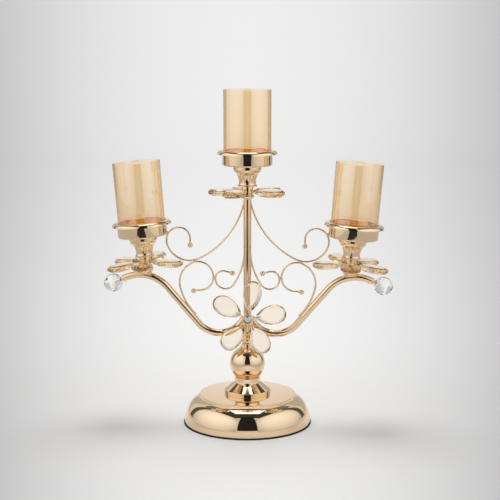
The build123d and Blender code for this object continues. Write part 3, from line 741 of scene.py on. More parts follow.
class Base:
    """The weighted foot of the candelabra."""

    def __init__(self, sizes: BaseSizes) -> None:
        """Works out the height of each piece from those below it.

        Args:
            sizes: of the base's pieces.
        """
        self.s = s = sizes
        self.rim_z = s.pad_thickness + s.rim_height
        self.middle = s.dome_radius - s.shoulder
        self.deck_z = self.rim_z + s.dome_height * sqrt(1 - ((s.step_radius - self.middle) / s.shoulder) ** 2)
        self.step_z = self.deck_z + s.step_height
        self.cone_z = self.step_z + s.cone_height
        self.seat_z = self.cone_z + s.collar_height
        self.ball_z = self.seat_z + sqrt(s.ball_radius**2 - s.ball_seat**2)
        self.neck_z = self.ball_z + s.neck_rise
        self.collar_z = self.neck_z + s.beads * s.bead_height

    def pad(self) -> Surface:
        """The flat ring under the base: an oblong with its outer edges eased, spun.

        Returns:
            The closed ring.
        """
        s = self.s
        outer = [(s.pad_radius, 0, s.pad_edge), (s.pad_radius, s.pad_thickness, s.pad_edge)]
        return turned(eased([(s.pad_hole, 0), *outer, (s.pad_hole, s.pad_thickness)]), WIDE)

    def ellipse(self, inset: float, top: float) -> np.ndarray:
        """The dome's shoulder: r = middle + a cos t, h = rim + b sin t.

        Args:
            inset: how much smaller both half axes are than the outside's.
            top: height where it ends.

        Returns:
            The profile's points from the rim up.
        """
        s = self.s
        t = np.linspace(0, asin((top - self.rim_z) / (s.dome_height - inset)), 49)
        r = self.middle + (s.shoulder - inset) * np.cos(t)
        return np.stack([r, self.rim_z + (s.dome_height - inset) * np.sin(t)], 1)

    def dome(self) -> Surface:
        """The spun shell with its short upright rim: two ellipses, spun.

        Returns:
            The closed shell.
        """
        s = self.s
        outer = self.ellipse(0.0, self.deck_z)
        inner = self.ellipse(s.sheet, self.deck_z - s.sheet)[::-1]
        rim = np.array([[s.dome_radius - s.sheet, s.pad_thickness], [s.dome_radius, s.pad_thickness]])
        hole = np.array([[s.rod_hole, self.deck_z], [s.rod_hole, self.deck_z - s.sheet]])
        return turned(np.vstack([outer, hole, inner, rim]), WIDE)

    def lid(self) -> Surface:
        """The stamped lid with a turned-down edge: an outline with one eased corner, spun.

        Returns:
            The closed sheet.
        """
        s = self.s
        under = self.step_z - s.sheet
        corners = [
            (s.rod_hole, self.step_z),
            (s.rod_hole, under),
            (s.step_radius - s.sheet, under),
            (s.step_radius - s.sheet, self.deck_z),
            (s.step_radius, self.deck_z),
            (s.step_radius, self.step_z, s.step_edge),
        ]
        return turned(eased(corners), WIDE)

    def cone(self) -> Surface:
        """The cone between lid and ball, with a band at its foot: an eased outline, spun.

        Returns:
            The closed sheet.
        """
        s = self.s
        band = self.step_z + s.cone_band
        corners = [
            (s.cone_radius - s.sheet, self.step_z),
            (s.cone_radius, self.step_z, s.cone_ends),
            (s.cone_radius, band, s.cone_edge),
            (s.collar_radius, self.cone_z, s.cone_throat),
            (s.collar_radius, self.seat_z, s.cone_ends),
            (s.rod_hole, self.seat_z),
            (s.rod_hole, self.seat_z - s.sheet),
            (s.collar_radius - s.sheet, self.seat_z - s.sheet),
            (s.collar_radius - s.sheet, self.cone_z - s.sheet),
            (s.cone_radius - s.sheet, band - s.sheet),
        ]
        return turned(eased(corners, steps=8), MIDDLING)

    def ball(self) -> Surface:
        """The ball that draws up into a slim neck: a circle and a hollow arc tangent to it, spun.

        Returns:
            The closed ball with its bore.
        """
        s = self.s
        reach = s.ball_radius - s.neck_radius
        sweep = (s.neck_radius**2 + s.neck_rise**2 - s.ball_radius**2) / (2 * reach)
        centre = s.neck_radius + sweep
        turn = atan2(s.neck_rise, centre)
        seat = -asin((self.ball_z - self.seat_z) / s.ball_radius)
        t = np.linspace(seat, turn, 65)
        globe = np.stack([s.ball_radius * np.cos(t), self.ball_z + s.ball_radius * np.sin(t)], 1)
        u = np.linspace(turn, 0, 25)[1:]
        neck = np.stack([centre - sweep * np.cos(u), self.neck_z - sweep * np.sin(u)], 1)
        inside = np.array([[s.rod_hole, self.neck_z], [s.rod_hole, self.seat_z]])
        return turned(np.vstack([globe, neck, inside]), MIDDLING)

    def collar(self) -> Surface:
        """The beads round the foot of the column: one arc above the other, spun.

        Returns:
            The closed ring.
        """
        s = self.s
        rows = []
        for bead in range(s.beads):
            low = self.neck_z + bead * s.bead_height
            crown = (s.bead_radius, low + s.bead_height / 2)
            rows.append(arc((s.groove_radius, low), crown, (s.groove_radius, low + s.bead_height), steps=14))
        inside = np.array([[s.bead_hole, self.collar_z], [s.bead_hole, self.neck_z]])
        return turned(np.vstack(rows + [inside]), SLIM)

    def build(self, shop: Workshop) -> None:
        """Makes and dresses the pieces of the base.

        Args:
            shop: makes the pieces.
        """
        shop.piece("Pad", self.pad(), Slot.PAD, "stand", "base_pad")
        shop.metal("Dome", self.dome(), "base_dome")
        shop.metal("Lid", self.lid(), "base_top_plate")
        shop.metal("Cone", self.cone(), "base_cone")
        shop.metal("Ball", self.ball(), "base_ball")
        shop.metal("Collar", self.collar(), "column_collar")
        shop.keep("base_bottom_plate", Slot.METAL)
        shop.keep("tie_rod", Slot.STEEL)
        shop.keep("base_nut", Slot.STEEL)


@dataclass(frozen=True)
class ArmSizes:
    """The column, the two bent arms and the studs at their ends."""

    column_radius: float = 5.0
    wall: float = 1.0
    column_low: float = 110.975
    column_top: float = 288.5
    radius: float = 4.5
    end_edge: float = 0.5
    root_height: float = 137.2
    root_heading: float = -66.0
    lower_bend: float = 35.0
    slope: float = 49.5
    slope_length: float = 60.4
    upper_bend: float = 45.7
    end_heading: float = -22.7
    end_length: float = 5.0
    station_heading: float = 10.0
    stud_collar: float = 2.6
    stud_sunk: float = 0.5
    stud_radius: float = 1.5
    stud_depth: float = 9.0
    ball_gap: float = 2.2


class Arms:
    """Column, arms and the studs of the end balls."""

    def __init__(self, sizes: ArmSizes) -> None:
        """Lays the right arm's centreline, and marks its slope's foot and its cup's place.

        Args:
            sizes: of column and arms.
        """
        self.s = s = sizes
        path = BentPath(s.column_radius - s.wall, s.root_height, s.root_heading)
        path.bend(s.lower_bend, s.slope - s.root_heading)
        self.slope_start = (path.x, path.z)
        path.straight(s.slope_length)
        path.bend(s.upper_bend, s.station_heading - s.slope)
        self.station = (path.x, path.z)
        path.bend(s.upper_bend, s.end_heading - s.station_heading)
        path.straight(s.end_length)
        self.path = path

    def studs(self) -> Surface:
        """The pin between an arm's end and its crystal ball, with its collar: two straight bars.

        Returns:
            Both bars, on the right arm.
        """
        s = self.s
        way = radians(s.end_heading)
        out = np.array([cos(way), 0.0, sin(way)])
        end = np.array([self.path.x, 0.0, self.path.z])
        collar = np.stack([end - s.stud_sunk * out, end + s.ball_gap * out])
        pin = np.stack([end, end + (s.ball_gap + s.stud_depth) * out])
        return swept(collar, s.stud_collar).join(swept(pin, s.stud_radius))

    def build(self, shop: Workshop) -> None:
        """Makes and dresses column, arms, studs and end balls.

        Args:
            shop: makes the pieces.
        """
        s = self.s
        column = [(s.column_radius - s.wall, s.column_low), (s.column_radius, s.column_low)]
        column += [(s.column_radius, s.column_top), (s.column_radius - s.wall, s.column_top)]
        shop.metal("Column", turned(np.array(column), SLIM), "column_tube")
        arm = swept(self.path.line(), s.radius, BAR, s.end_edge)
        stud = self.studs()
        for side, matrix in HANDS:
            shop.metal(f"Arm_{side.value}", arm.placed(matrix), f"arm_{side.value}")
            shop.keep(f"end_ball_{side.value}", Slot.CLEAR)
        shop.metal("Studs", stud.join(stud.placed(MIRROR)), "end_ball_studs")


@dataclass(frozen=True)
class CupSizes:
    """One cup stack, measured up from the seat under its flower hub."""

    lean: float = 4.6
    seat_top: float = 8.8
    seat_foot: float = 5.6
    seat_edge: float = 0.3
    # Shares of the seat's height: its upright band, and its belly's place and swell.
    seat_band: float = 1 / 5
    seat_belly: float = 0.62
    seat_swell: float = 1 / 6
    cap_height: float = 5.0
    boss_rise: float = 13.1
    boss_cut: float = 2.0
    hub_radius: float = 7.5
    hub_height: float = 11.5
    hub_edge: float = 0.4
    petal_height: float = 3.6
    neck_height: float = 25.8
    foot_radius: float = 12.6
    foot_height: float = 1.0
    foot_belly: Pair = (11.1, 2.5)
    foot_edge: float = 0.3
    waist_radius: float = 10.6
    waist_height: float = 5.0
    sweep_radius: float = 16.9
    sweep_top: float = 16.8
    ring_radius: float = 17.8
    ring_height: float = 5.4
    # The ring's worn edges, in from its radius and up from its foot, or in and down from its top.
    ring_low: tuple[Pair, ...] = ((0.6, 0.0), (0.0, 0.8))
    ring_high: tuple[Pair, ...] = ((0.0, 1.0), (0.5, 0.2), (1.0, 0.0))
    flutes: int = 14
    flute_depth: float = 1.0
    flute_steps: int = 16
    dish_radius: float = 31.4
    dish_wall: float = 0.9
    dish_body: float = 17.6
    dish_fillet: float = 2.0
    dish_hole: float = 4.48
    dish_floor_ease: float = 1.0
    brim_radius: float = 37.7
    brim_drop: float = 5.0
    brim_crown: float = 1.9
    # How far the brim's under side lies in and down from its top, and its lip's middle out from the
    # inner wall and down from the crown.
    brim_wall: Pair = (0.63, 0.72)
    brim_lip: Pair = (0.475, 0.228)
    hole: float = 2.8
    glass_radius: float = 30.0
    glass_wall: float = 2.0
    glass_edge: float = 0.8
    glass_length: float = 93.7
    petal_start: float = 9.5
    prong_radius: float = 0.7
    prong_depth: float = 7.5
    prong_root: float = 1.0


# Bearing and droop of each petal.
PETALS = {
    Side.CENTRE: ((180, 0), (108, 1), (38, 0), (-17, 0), (-117, -1)),
    Side.LEFT: ((199, 5), (146, 0), (74, -3), (-8, 5), (-90, 0)),
    Side.RIGHT: ((198, 3), (118, -3), (49, -1), (-18, 3), (-90, 0)),
}
FRONT_PETALS = ((10, 0), (80, 0), (151, 0), (232, 0), (298, 0))


def prongs(petals: Sequence[Pair], hub: float, height: float, sizes: CupSizes) -> Surface:
    """Thin wires that run out from a hub into its petals: straight bars along each petal's middle.

    Args:
        petals: bearing and droop of each.
        hub: radius of the hub that they stand in.
        height: of the flower's plane.
        sizes: of the prongs and the petals' place.

    Returns:
        All the wires as one surface.
    """
    wires = Surface()
    reach = sizes.petal_start + sizes.prong_depth
    for bearing, droop in petals:
        b, d = radians(bearing), radians(droop)
        way = np.array([cos(b) * cos(d), sin(b) * cos(d), -sin(d)])
        ends = np.stack([(hub - sizes.prong_root) * way, reach * way]) + [0, 0, height]
        wires = wires.join(swept(ends, sizes.prong_radius, around=12))
    return wires


class Cup:
    """One stack of seat, flower, neck, dish and glass."""

    def __init__(self, side: Side, seat: np.ndarray, sizes: CupSizes) -> None:
        """Works out the heights above the seat.

        Args:
            side: the stack's name.
            seat: place of the face under the hub, as a 4 by 4 matrix in millimetres.
            sizes: of the stack's pieces.
        """
        self.side, self.seat, self.s = side, seat, sizes
        self.neck_s = sizes.hub_height
        self.dish_s = self.neck_s + sizes.neck_height
        self.floor_s = self.dish_s + sizes.dish_wall

    def seat_blank(self, height: float) -> Surface:
        """The turned seat, flaring on an arc from its foot to the face under the hub.

        Args:
            height: of the seat.

        Returns:
            The seat, with its face at height 0.
        """
        s = self.s
        belly = ((s.seat_top + s.seat_foot) / 2 + height * s.seat_swell, -height * s.seat_belly)
        band = (s.seat_top, -height * s.seat_band)
        flare = arc((s.seat_foot, -height), belly, band, steps=20)
        top = eased([band, (s.seat_top, 0, s.seat_edge), (s.hole, 0), (s.hole, -height)])
        return turned(np.vstack([flare, top[1:]]), SLIM)

    def hub(self) -> Surface:
        """The drum between seat and neck, with a prong for each petal.

        Returns:
            Drum and prongs.
        """
        s = self.s
        outer = [(s.hub_radius, 0, s.hub_edge), (s.hub_radius, s.hub_height, s.hub_edge)]
        drum = eased([(s.hole, 0), *outer, (s.hole, s.hub_height)])
        return turned(drum, SLIM).join(prongs(PETALS[self.side], s.hub_radius, s.petal_height, s))

    def neck(self) -> Surface:
        """The trumpet: foot, waist, a circular sweep and a plain ring.

        Flutes hollow the sweep: the radius shrinks by depth sin^2(pi share) (1 - cos(n a)) / 2, where the
        share runs from the waist to the ring and a is the bearing.

        Returns:
            The closed trumpet with its bore.
        """
        s = self.s
        t = np.linspace(0, 2 * asin(sqrt((s.sweep_top - s.waist_radius) / (2 * s.sweep_radius))), 33)
        centre = np.array([s.waist_radius + s.sweep_radius, s.waist_height])
        sweep = centre + s.sweep_radius * np.stack([-np.cos(t), np.sin(t)], 1)
        foot = arc((s.foot_radius, s.foot_height), s.foot_belly, (s.waist_radius, s.waist_height), steps=12)
        low = s.neck_height - s.ring_height
        ring_low = np.array([s.ring_radius, low]) + np.array(s.ring_low) * [-1, 1]
        ring_high = np.array([s.ring_radius, s.neck_height]) - np.array(s.ring_high)
        bore = np.array([[s.hole, s.neck_height], [s.hole, 0]])
        under = np.array([[s.foot_radius - s.foot_edge, 0], [s.foot_radius, s.foot_edge]])
        profile = np.vstack([foot, sweep[1:], ring_low, ring_high, bore, under])
        trumpet = turned(profile + [0, self.neck_s], s.flute_steps * s.flutes)
        x, y, z = trumpet.points.T
        radius = np.hypot(x, y)
        share = np.clip((z - self.neck_s - s.waist_height) / (low - s.waist_height), 0, 1)
        cut = s.flute_depth * np.sin(pi * share) ** 2 * (1 - np.cos(s.flutes * np.arctan2(y, x))) / 2
        shrink = np.where(radius > s.hole + s.flute_depth, 1 - cut / radius, 1.0)
        return Surface(trumpet.points * np.stack([shrink, shrink, np.ones_like(z)], 1), trumpet.faces)

    def dish(self) -> Surface:
        """The drawn dish: floor, wall and the brim that turns out and down, each on an arc, spun.

        Returns:
            The closed sheet.
        """
        s = self.s
        inner = s.dish_radius - s.dish_wall
        crown_x, crown_z = s.dish_radius + s.brim_crown / 2, s.dish_body + s.brim_crown
        brim_z = crown_z - s.brim_drop
        halfway = sqrt(1 / 2)
        top = (crown_x + (s.brim_radius - crown_x) * halfway, brim_z + (crown_z - brim_z) * halfway)
        below = (top[0] - s.brim_wall[0], top[1] - s.brim_wall[1])
        lip_middle = (inner + s.brim_lip[0], crown_z - s.brim_lip[1])
        outside = [(s.dish_hole, 0), (s.dish_radius, 0, s.dish_fillet), (s.dish_radius, s.dish_body)]
        corner = eased(outside, steps=10)
        under = arc((s.dish_radius, crown_z - s.dish_wall), below, (s.brim_radius - s.dish_wall, brim_z))
        over = arc((s.brim_radius, brim_z), top, (crown_x, crown_z), steps=24)
        lip = arc((crown_x, crown_z), lip_middle, (inner, crown_z - s.brim_crown / 2), steps=10)
        foot = [(inner, s.dish_wall + s.dish_floor_ease), (inner - s.dish_floor_ease, s.dish_wall)]
        floor = np.array([*foot, (s.dish_hole, s.dish_wall)])
        profile = np.vstack([corner[:-1], under, over, lip[1:], floor])
        return turned(profile + [0, self.dish_s], MIDDLING)

    def glass(self) -> Surface:
        """The open sleeve with fire-polished ends: an eased oblong, spun.

        Returns:
            The closed wall.
        """
        s = self.s
        inner, outer = s.glass_radius - s.glass_wall, s.glass_radius
        low, high = self.floor_s, self.floor_s + s.glass_length
        corners = ((inner, low), (outer, low), (outer, high), (inner, high))
        return turned(eased([(*corner, s.glass_edge) for corner in corners], steps=6), MIDDLING)

    def build(self, shop: Workshop) -> None:
        """Makes and dresses the pieces of the stack but its seat.

        Args:
            shop: makes the pieces.
        """
        side = self.side.value
        for name, surface in {"petal_hub": self.hub(), "neck": self.neck(), "dish": self.dish()}.items():
            node = f"{name}_{side}"
            shop.metal(node.title(), surface.placed(self.seat), node)
        node = f"glass_{side}"
        shop.piece(node.title(), self.glass().placed(self.seat), Slot.AMBER, f"sleeve_{side}", node)
        for number in range(1, len(PETALS[self.side]) + 1):
            shop.keep(f"petal_{side}_{number}", Slot.CRYSTAL)


@dataclass(frozen=True)
class FrontSizes:
    """The flower on the column."""

    x: float = 1.5
    height: float = 138.2
    standoff: float = 15.0
    bezel_radius: float = 6.8
    bezel_front: float = 5.0
    bezel_back: float = 3.6
    bezel_edge: float = 0.4
    stone_radius: float = 5.2
    stone_gap: float = 0.1
    stone_seat: float = 2.2
    stem_radius: float = 2.6
    stem_wall: float = 1.0
    stem_sunk: float = 0.2
    column_radius: float = 5.0


class FrontFlower:
    """Bezel, stone and petals in front of the column."""

    def __init__(self, sizes: FrontSizes, cup: CupSizes) -> None:
        """Takes its own sizes, and the cups' for what all the flowers share."""
        self.s, self.cup = sizes, cup

    def matrix(self) -> np.ndarray:
        """Turns the flower's own axis to face -Y."""
        s = self.s
        return np.array([[1, 0, 0, s.x], [0, 0, -1, -s.standoff], [0, 1, 0, s.height], [0, 0, 0, 1.0]])

    def bezel(self) -> Surface:
        """The stone's cup, an eased outline spun, with its prongs and the stem back to the column.

        Returns:
            The three as one surface, along the flower's own axis.
        """
        s = self.s
        edge = (s.bezel_radius - s.stone_radius) / 2
        hole, bore = s.stone_radius + s.stone_gap, s.stem_radius - s.stem_wall
        seat = s.bezel_front - s.stone_seat
        corners = [
            (bore, -s.bezel_back),
            (s.bezel_radius, -s.bezel_back, s.bezel_edge),
            (s.bezel_radius, s.bezel_front, edge),
            (hole, s.bezel_front),
            (hole, seat),
            (bore, seat),
        ]
        cup = turned(eased(corners, steps=8), SLIM)
        gap = sqrt(s.column_radius**2 - (s.x + s.stem_radius) ** 2)
        stem = np.array([[0.0, 0.0, -s.standoff + gap - s.stem_sunk], [0.0, 0.0, 0.0]])
        wires = prongs(FRONT_PETALS, s.bezel_radius, 0.0, self.cup)
        return cup.join(swept(stem, s.stem_radius, BAR)).join(wires)

    def build(self, shop: Workshop) -> None:
        """Makes and dresses the flower.

        Args:
            shop: makes the pieces.
        """
        shop.metal("Bezel", self.bezel().placed(self.matrix()), "front_bezel")
        shop.keep("front_stone", Slot.CLEAR, "_foiled")
        for number in range(1, len(FRONT_PETALS) + 1):
            shop.keep(f"petal_front_{number}", Slot.CRYSTAL)


@dataclass(frozen=True)
class ScrollSizes:
    """The three wires on each side, chained where they are soldered.

    The bends are radius and angle of each arc, outward or inward from the soldered place.
    """

    wire: float = 1.2
    wire_around: int = 20
    wire_edge: float = 0.2
    gap: float = 0.3
    tie_x: float = 67.23
    tie_height: float = 210.31
    tie_heading: float = -12.6
    upper_root: float = 286.0
    upper_in: tuple[Pair, ...] = ((29.6, -14.0),)
    upper_out: tuple[Pair, ...] = ((29.6, 84.2), (16.8, 90.8), (14.0, 106.0))
    middle_out: tuple[Pair, ...] = ((19.2, -14.7), (27.8, -76.3))
    middle_link: Pair = (19.2, 107.0)
    middle_in: tuple[Pair, ...] = ((19.2, 8.6), (16.8, 70.4))
    foot_share: float = 0.17
    inner_root: float = 219.0
    inner_out: tuple[Pair, ...] = ((12.6, -150.0),)
    inner_in: tuple[Pair, ...] = ((10.1, 101.0),)
    bead: float = 3.3
    bead_grip: float = 1.2
    tail: float = 7.0


class Scrolls:
    """The bent wires between column, arms and dishes, with their end balls."""

    def __init__(self, sizes: ScrollSizes, arms: Arms) -> None:
        """Takes the arms that the wires are soldered to."""
        self.s, self.arms = sizes, arms

    def beside(self, path: BentPath) -> Pair:
        """The point one wire and one solder gap to the right of a path's end.

        Args:
            path: the wire that the next one is soldered to.

        Returns:
            The next wire's middle.
        """
        normal = radians(path.heading) - pi / 2
        pitch = 2 * self.s.wire + self.s.gap
        return path.x + pitch * cos(normal), path.z + pitch * sin(normal)

    def foot(self) -> Pair:
        """Where the middle wire ends, on top of the arm's slope.

        Returns:
            The wire's end.
        """
        arm = self.arms.s
        slope, run = radians(arm.slope), self.s.foot_share * arm.slope_length
        lift = arm.radius + self.s.wire / 2
        x, z = self.arms.slope_start
        return x + run * cos(slope) - lift * sin(slope), z + run * sin(slope) + lift * cos(slope)

    def wires(self) -> tuple[dict[str, np.ndarray], list[BentPath]]:
        """Lays the wires of the right side, each as two paths from its soldered place.

        Returns:
            Centrelines by name, and the paths that end in a bead.
        """
        s = self.s
        root = self.arms.s.column_radius - s.wire
        out, back = s.tie_heading, s.tie_heading + 180
        upper_in = BentPath(s.tie_x, s.tie_height, back).bends(*s.upper_in).bend_to(root, s.upper_root)
        upper_out = BentPath(s.tie_x, s.tie_height, out).bends(*s.upper_out).straight(s.tail)
        tie = self.beside(BentPath(s.tie_x, s.tie_height, out))
        middle_out = BentPath(*tie, out).bends(*s.middle_out).bend_to(*self.foot())
        middle_in = BentPath(*tie, back).bends(s.middle_link)
        next_tie, heading = self.beside(middle_in), middle_in.heading
        middle_in.bends(*s.middle_in).straight(s.tail + s.wire)
        inner_out = BentPath(*next_tie, heading).bends(*s.inner_out).bend_to(root, s.inner_root)
        inner_in = BentPath(*next_tie, heading + 180).bends(*s.inner_in).straight(s.tail)
        lines = {
            "scroll_upper": upper_in.onto(upper_out),
            "scroll_middle": middle_out.onto(middle_in),
            "scroll_inner": inner_out.onto(inner_in),
        }
        return lines, [upper_out, middle_in, inner_in]

    def build(self, shop: Workshop) -> None:
        """Makes and dresses wires and beads.

        Args:
            shop: makes the pieces.
        """
        s = self.s
        lines, ends = self.wires()
        for name, line in lines.items():
            wire = swept(line, s.wire, s.wire_around, s.wire_edge)
            for side, matrix in HANDS:
                node = f"{name}_{side.value}"
                shop.metal(node.title(), wire.placed(matrix), node)
        beads = Surface()
        for path in ends:
            reach = s.bead - s.bead_grip
            way = radians(path.heading)
            bead = ball((path.x + reach * cos(way), 0.0, path.z + reach * sin(way)), s.bead)
            beads = beads.join(bead).join(bead.placed(MIRROR))
        shop.metal("Scroll_Beads", beads, "scroll_beads")
        shop.keep("solder_spots", Slot.METAL)


class Candelabra:
    """The whole object."""

    def __init__(self) -> None:
        """Sets the cups on the column and on the arms."""
        self.cup_sizes = sizes = CupSizes()
        self.base = Base(BaseSizes())
        self.arms = Arms(ArmSizes())
        x = self.arms.station[0] + sizes.boss_rise * sin(radians(sizes.lean))
        z = self.arms.station[1] + sizes.boss_rise * cos(radians(sizes.lean))
        self.cups = [
            Cup(Side.CENTRE, place(z=self.arms.s.column_top + sizes.cap_height), sizes),
            Cup(Side.RIGHT, place(x, 0, z, sizes.lean), sizes),
            Cup(Side.LEFT, place(-x, 0, z, -sizes.lean), sizes),
        ]

    def build(self, shop: Workshop) -> None:
        """Builds every sub-assembly.

        Args:
            shop: makes the pieces.
        """
        self.base.build(shop)
        self.arms.build(shop)
        sizes = self.cup_sizes
        centre, right, left = self.cups
        shop.metal("Column_Cap", centre.seat_blank(sizes.cap_height).placed(centre.seat), "column_cap")
        boss = centre.seat_blank(sizes.boss_rise - sizes.boss_cut)
        shop.metal("Arm_Bosses", boss.placed(right.seat).join(boss.placed(left.seat)), "arm_bosses")
        for cup in self.cups:
            cup.build(shop)
        shop.keep("cup_screws", Slot.STEEL)
        FrontFlower(FrontSizes(), sizes).build(shop)
        Scrolls(ScrollSizes(), self.arms).build(shop)


# The studio


@dataclass(frozen=True)
class Card:
    """A flat card, dark or glowing, that reflections see. A bright one is also seen through glass.

    Attributes:
        name: of the card.
        bearing: in degrees from the camera's side, positive to the right.
        elevation: of its middle above the object's middle, in degrees.
        distance: from the object's middle, in metres.
        size: width and height, in metres.
        middle: radiance in its middle.
        rim: radiance at the middle of each edge.
        lift: how far the card is raised from there, in metres.
    """

    name: str
    bearing: float
    elevation: float
    distance: float
    size: Pair
    middle: float
    rim: float
    lift: float = 0.0


class Studio:
    """Sweep, lamp, reflected cards, world and camera."""

    AZIMUTH = 4.0
    PITCH = 9.42
    DISTANCE = 1.67215
    AIM_HEIGHT = 0.22381
    FOCAL_PIXELS = 1325.0
    AXIS_PIXEL = 247.4
    FRAME_PIXELS = 500.0
    SENSOR_MM = 36.0
    MIDDLE = (0.0, 0.0, 0.2)
    LAMP_BEARING = 180.0
    LAMP_ELEVATION = 80.0
    LAMP_DISTANCE = 1.05
    LAMP_SIZE = 0.50
    LAMP_POWER = 6.3
    WORLD_COLOR = (1.0, 0.99, 0.975, 1)
    WORLD_SHOWN = 0.72
    WORLD_LIGHT = 0.68
    SWEEP_FRONT = -5.0
    SWEEP_DEPTH = 3.4
    SWEEP_CURVE = 1.6
    SWEEP_STEPS = 24
    SWEEP_WIDTH = 7.6
    SWEEP_TOP = 4.1
    SWEEP_GLOW = 0.40

    CARDS = (
        Card("Front", 0, 0, 1.05, (0.68, 2.20), 0.02, 0.02, lift=1.02),
        Card("Above", 180, 86, 2.25, (3.8, 3.4), 0.05, 0.05),
        Card("Top", 180, 81, 1.45, (0.85, 0.83), 2.6, 2.2),
        Card("Soft_Left", -70, 0, 1.3, (3.05, 2.24), 1.16, 0.76, lift=0.98),
        Card("Soft_Right", 68, 0, 1.3, (3.05, 2.24), 1.12, 0.74, lift=0.98),
        Card("Rear_Left", -126, 0, 1.6, (0.34, 2.5), 0.10, 0.10, lift=1.1),
        Card("Rear_Right", 124, 0, 1.6, (0.34, 2.5), 0.10, 0.10, lift=1.1),
        Card("Over_Back", 180, 52, 1.9, (2.6, 0.62), 0.20, 0.20),
    )
    CARD_COLOR = (0.97, 1.0, 1.05, 1)
    # Cards up to this radiance are dark.
    DARK = 0.3
    # A dark strip flat on the floor, this far in front of the object's middle and this high.
    NEAR_FLOOR = Card("Near_Floor", 0, 0, 3.05, (0.9, 4.0), 0.03, 0.03)
    NEAR_FLOOR_HEIGHT = 0.003

    def __init__(self) -> None:
        """Starts without stage pieces."""
        self.pieces: list[bpy.types.Object] = []

    def facing(self, bearing: float, elevation: float, distance: float) -> np.ndarray:
        """A place in which the own -Z looks towards the object's middle.

        Args:
            bearing: from the camera's side, positive to the right.
            elevation: above the object's middle.
            distance: from there, in metres.

        Returns:
            The place as a 4 by 4 matrix.
        """
        turn, rise = radians(bearing + self.AZIMUTH), radians(elevation)
        out = np.array([sin(turn) * cos(rise), -cos(turn) * cos(rise), sin(rise)])
        right = np.array([cos(turn), sin(turn), 0.0])
        matrix = np.eye(4)
        matrix[:3, 0], matrix[:3, 1], matrix[:3, 2] = right, np.cross(out, right), out
        matrix[:3, 3] = np.array(self.MIDDLE) + out * distance
        return matrix

    def add(self, name: str, data: bpy.types.ID, matrix: np.ndarray) -> bpy.types.Object:
        """Links a new object.

        Args:
            name: of the object.
            data: its mesh, light or camera.
            matrix: its place.

        Returns:
            The object.
        """
        obj = bpy.data.objects.new(name, data)
        obj.matrix_world = Matrix(matrix.tolist())
        bpy.context.scene.collection.objects.link(obj)
        return obj

    def card(self, card: Card, glow: bpy.types.NodeTree, matrix: np.ndarray) -> None:
        """Adds a card that reflections see, and glass too where it is bright.

        Args:
            card: its size and radiance.
            glow: the group of the cards' radiance.
            matrix: its place.
        """
        w, h = card.size[0] / 2, card.size[1] / 2
        mesh = bpy.data.meshes.new(card.name)
        mesh.from_pydata([(-w, -h, 0), (w, -h, 0), (w, h, 0), (-w, h, 0)], [], [(0, 1, 2, 3)])
        material, g = blank_material(f"card_{card.name.lower()}")
        values = {"Half_Size": (w, h, 1.0), "Middle": card.middle, "Rim": card.rim}
        group = g.add("ShaderNodeGroup", {"node_tree": glow}, **values)
        shader = g.add("ShaderNodeEmission", Color=self.CARD_COLOR)
        g.link(group, "Radiance", shader, "Strength")
        g.link(shader, "Emission", g.add("ShaderNodeOutputMaterial"), "Surface")
        mesh.materials.append(material)
        obj = self.add(card.name, mesh, matrix)
        obj.visible_camera = False
        obj.visible_diffuse = False
        obj.visible_transmission = card.middle > self.DARK
        obj.visible_shadow = False
        self.pieces.append(obj)

    def lamp(self) -> None:
        """The soft lamp over the object that gives the floor its shadows."""
        data = bpy.data.lights.new("Lamp", "AREA")
        data.shape = "DISK"
        data.size = self.LAMP_SIZE
        data.energy = self.LAMP_POWER
        obj = self.add("Lamp", data, self.facing(self.LAMP_BEARING, self.LAMP_ELEVATION, self.LAMP_DISTANCE))
        obj.visible_glossy = False
        obj.visible_transmission = False
        self.pieces.append(obj)

    def shown(self, g: Graph) -> Source:
        """One for what the camera, metal and glass see, and zero for what lights the object.

        Args:
            g: the graph of the sweep or the world.

        Returns:
            The node and its output.
        """
        path = g.add("ShaderNodeLightPath")
        first = g.math("ADD", (path, "Is Camera Ray"), (path, "Is Glossy Ray"))
        return g.math("ADD", first, (path, "Is Transmission Ray"), clamp=True)

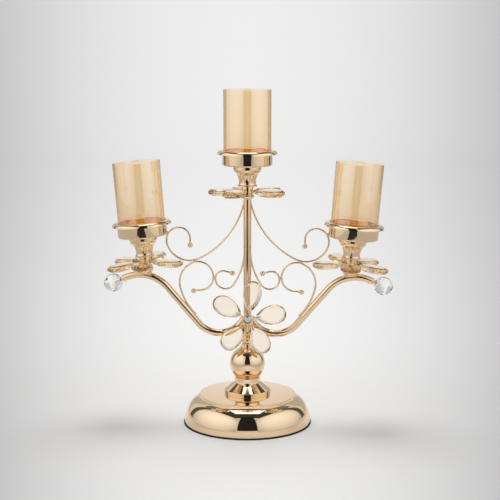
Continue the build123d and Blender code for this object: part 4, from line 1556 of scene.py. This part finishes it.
    def sweep(self) -> None:
        """The floor that curves up into the backdrop on a quarter circle, pale in the middle and darkened
        towards the sides by painted shade.
        """
        t = np.linspace(0, pi / 2, self.SWEEP_STEPS + 1)
        depth, radius = self.SWEEP_DEPTH, self.SWEEP_CURVE
        run = np.concatenate([[self.SWEEP_FRONT, 0.0], depth + radius * np.sin(t), [depth + radius]])
        rise = np.concatenate([[0.0, 0.0], radius * (1 - np.cos(t)), [self.SWEEP_TOP]])
        left = np.stack([np.full(len(run), -self.SWEEP_WIDTH / 2), run, rise], 1)
        count = len(run)
        low = np.arange(count - 1)
        faces = np.stack([low, low + count, low + count + 1, low + 1], 1)
        mesh = bpy.data.meshes.new("Sweep")
        mesh.from_pydata(np.vstack([left, left * [-1, 1, 1]]), [], faces.tolist())
        mesh.shade_smooth()
        material, g = blank_material("sweep_paper_painted_shade")
        falloff = g.add("ShaderNodeGroup", {"node_tree": backdrop_painted_shade()})
        falloff.inputs["Height"].default_value = self.MIDDLE[2] + self.LAMP_DISTANCE
        strength = g.math("MULTIPLY", g.math("MULTIPLY", (falloff, "Share"), self.shown(g)), self.SWEEP_GLOW)
        glow = g.add("ShaderNodeEmission")
        paper = g.add("ShaderNodeBsdfDiffuse")
        both = g.add("ShaderNodeAddShader")
        # The falloff colour carries painted shade, darker towards the sides, into both the glow and the
        # paper.
        g.link(falloff, "Color", glow, "Color")
        g.link(falloff, "Color", paper, "Color")
        g.link(*strength, glow, "Strength")
        g.link(glow, "Emission", both, 0)
        g.link(paper, "BSDF", both, 1)
        g.link(both, "Shader", g.add("ShaderNodeOutputMaterial"), "Surface")
        mesh.materials.append(material)
        self.pieces.append(self.add("Sweep", mesh, np.eye(4)))

    def world(self) -> None:
        """Even pale surroundings, plainer still as a light on the object."""
        world = bpy.data.worlds.new("Studio")
        world.use_nodes = True
        g = Graph(world.node_tree)
        background = world.node_tree.nodes["Background"]
        background.inputs["Color"].default_value = self.WORLD_COLOR
        more = self.WORLD_SHOWN - self.WORLD_LIGHT
        g.link(*g.math("MULTIPLY_ADD", self.shown(g), more, self.WORLD_LIGHT), background, "Strength")
        bpy.context.scene.world = world
        bpy.context.scene.view_settings.view_transform = "Standard"

    def camera(self) -> None:
        """The camera at the photo's angle, with the axis a little left of the middle."""
        matrix = self.facing(0.0, self.PITCH, self.DISTANCE)
        right = (self.FRAME_PIXELS / 2 - self.AXIS_PIXEL) * self.DISTANCE / self.FOCAL_PIXELS
        matrix[:3, 3] += matrix[:3, 0] * right + [0, 0, self.AIM_HEIGHT - self.MIDDLE[2]]
        data = bpy.data.cameras.new("Camera")
        data.sensor_width = self.SENSOR_MM
        data.lens = self.FOCAL_PIXELS / self.FRAME_PIXELS * self.SENSOR_MM
        bpy.context.scene.camera = self.add("Camera", data, matrix)

    def build(self) -> None:
        """Sets the whole studio."""
        glow = card_glow()
        for card in self.CARDS:
            matrix = self.facing(card.bearing, card.elevation, card.distance)
            matrix[2, 3] += card.lift
            self.card(card, glow, matrix)
        flat = np.eye(4)
        flat[1:3, 3] = -self.NEAR_FLOOR.distance, self.NEAR_FLOOR_HEIGHT
        self.card(self.NEAR_FLOOR, glow, flat)
        self.lamp()
        self.sweep()
        self.world()
        self.camera()
        log.info("studio has %d stage pieces", len(self.pieces))


def main() -> None:
    """Builds the candelabra and the studio round it."""
    logging.basicConfig(level=logging.INFO, format="%(name)s: %(message)s")
    Candelabra().build(Workshop())
    Studio().build()


if __name__ == "__main__":
    main()
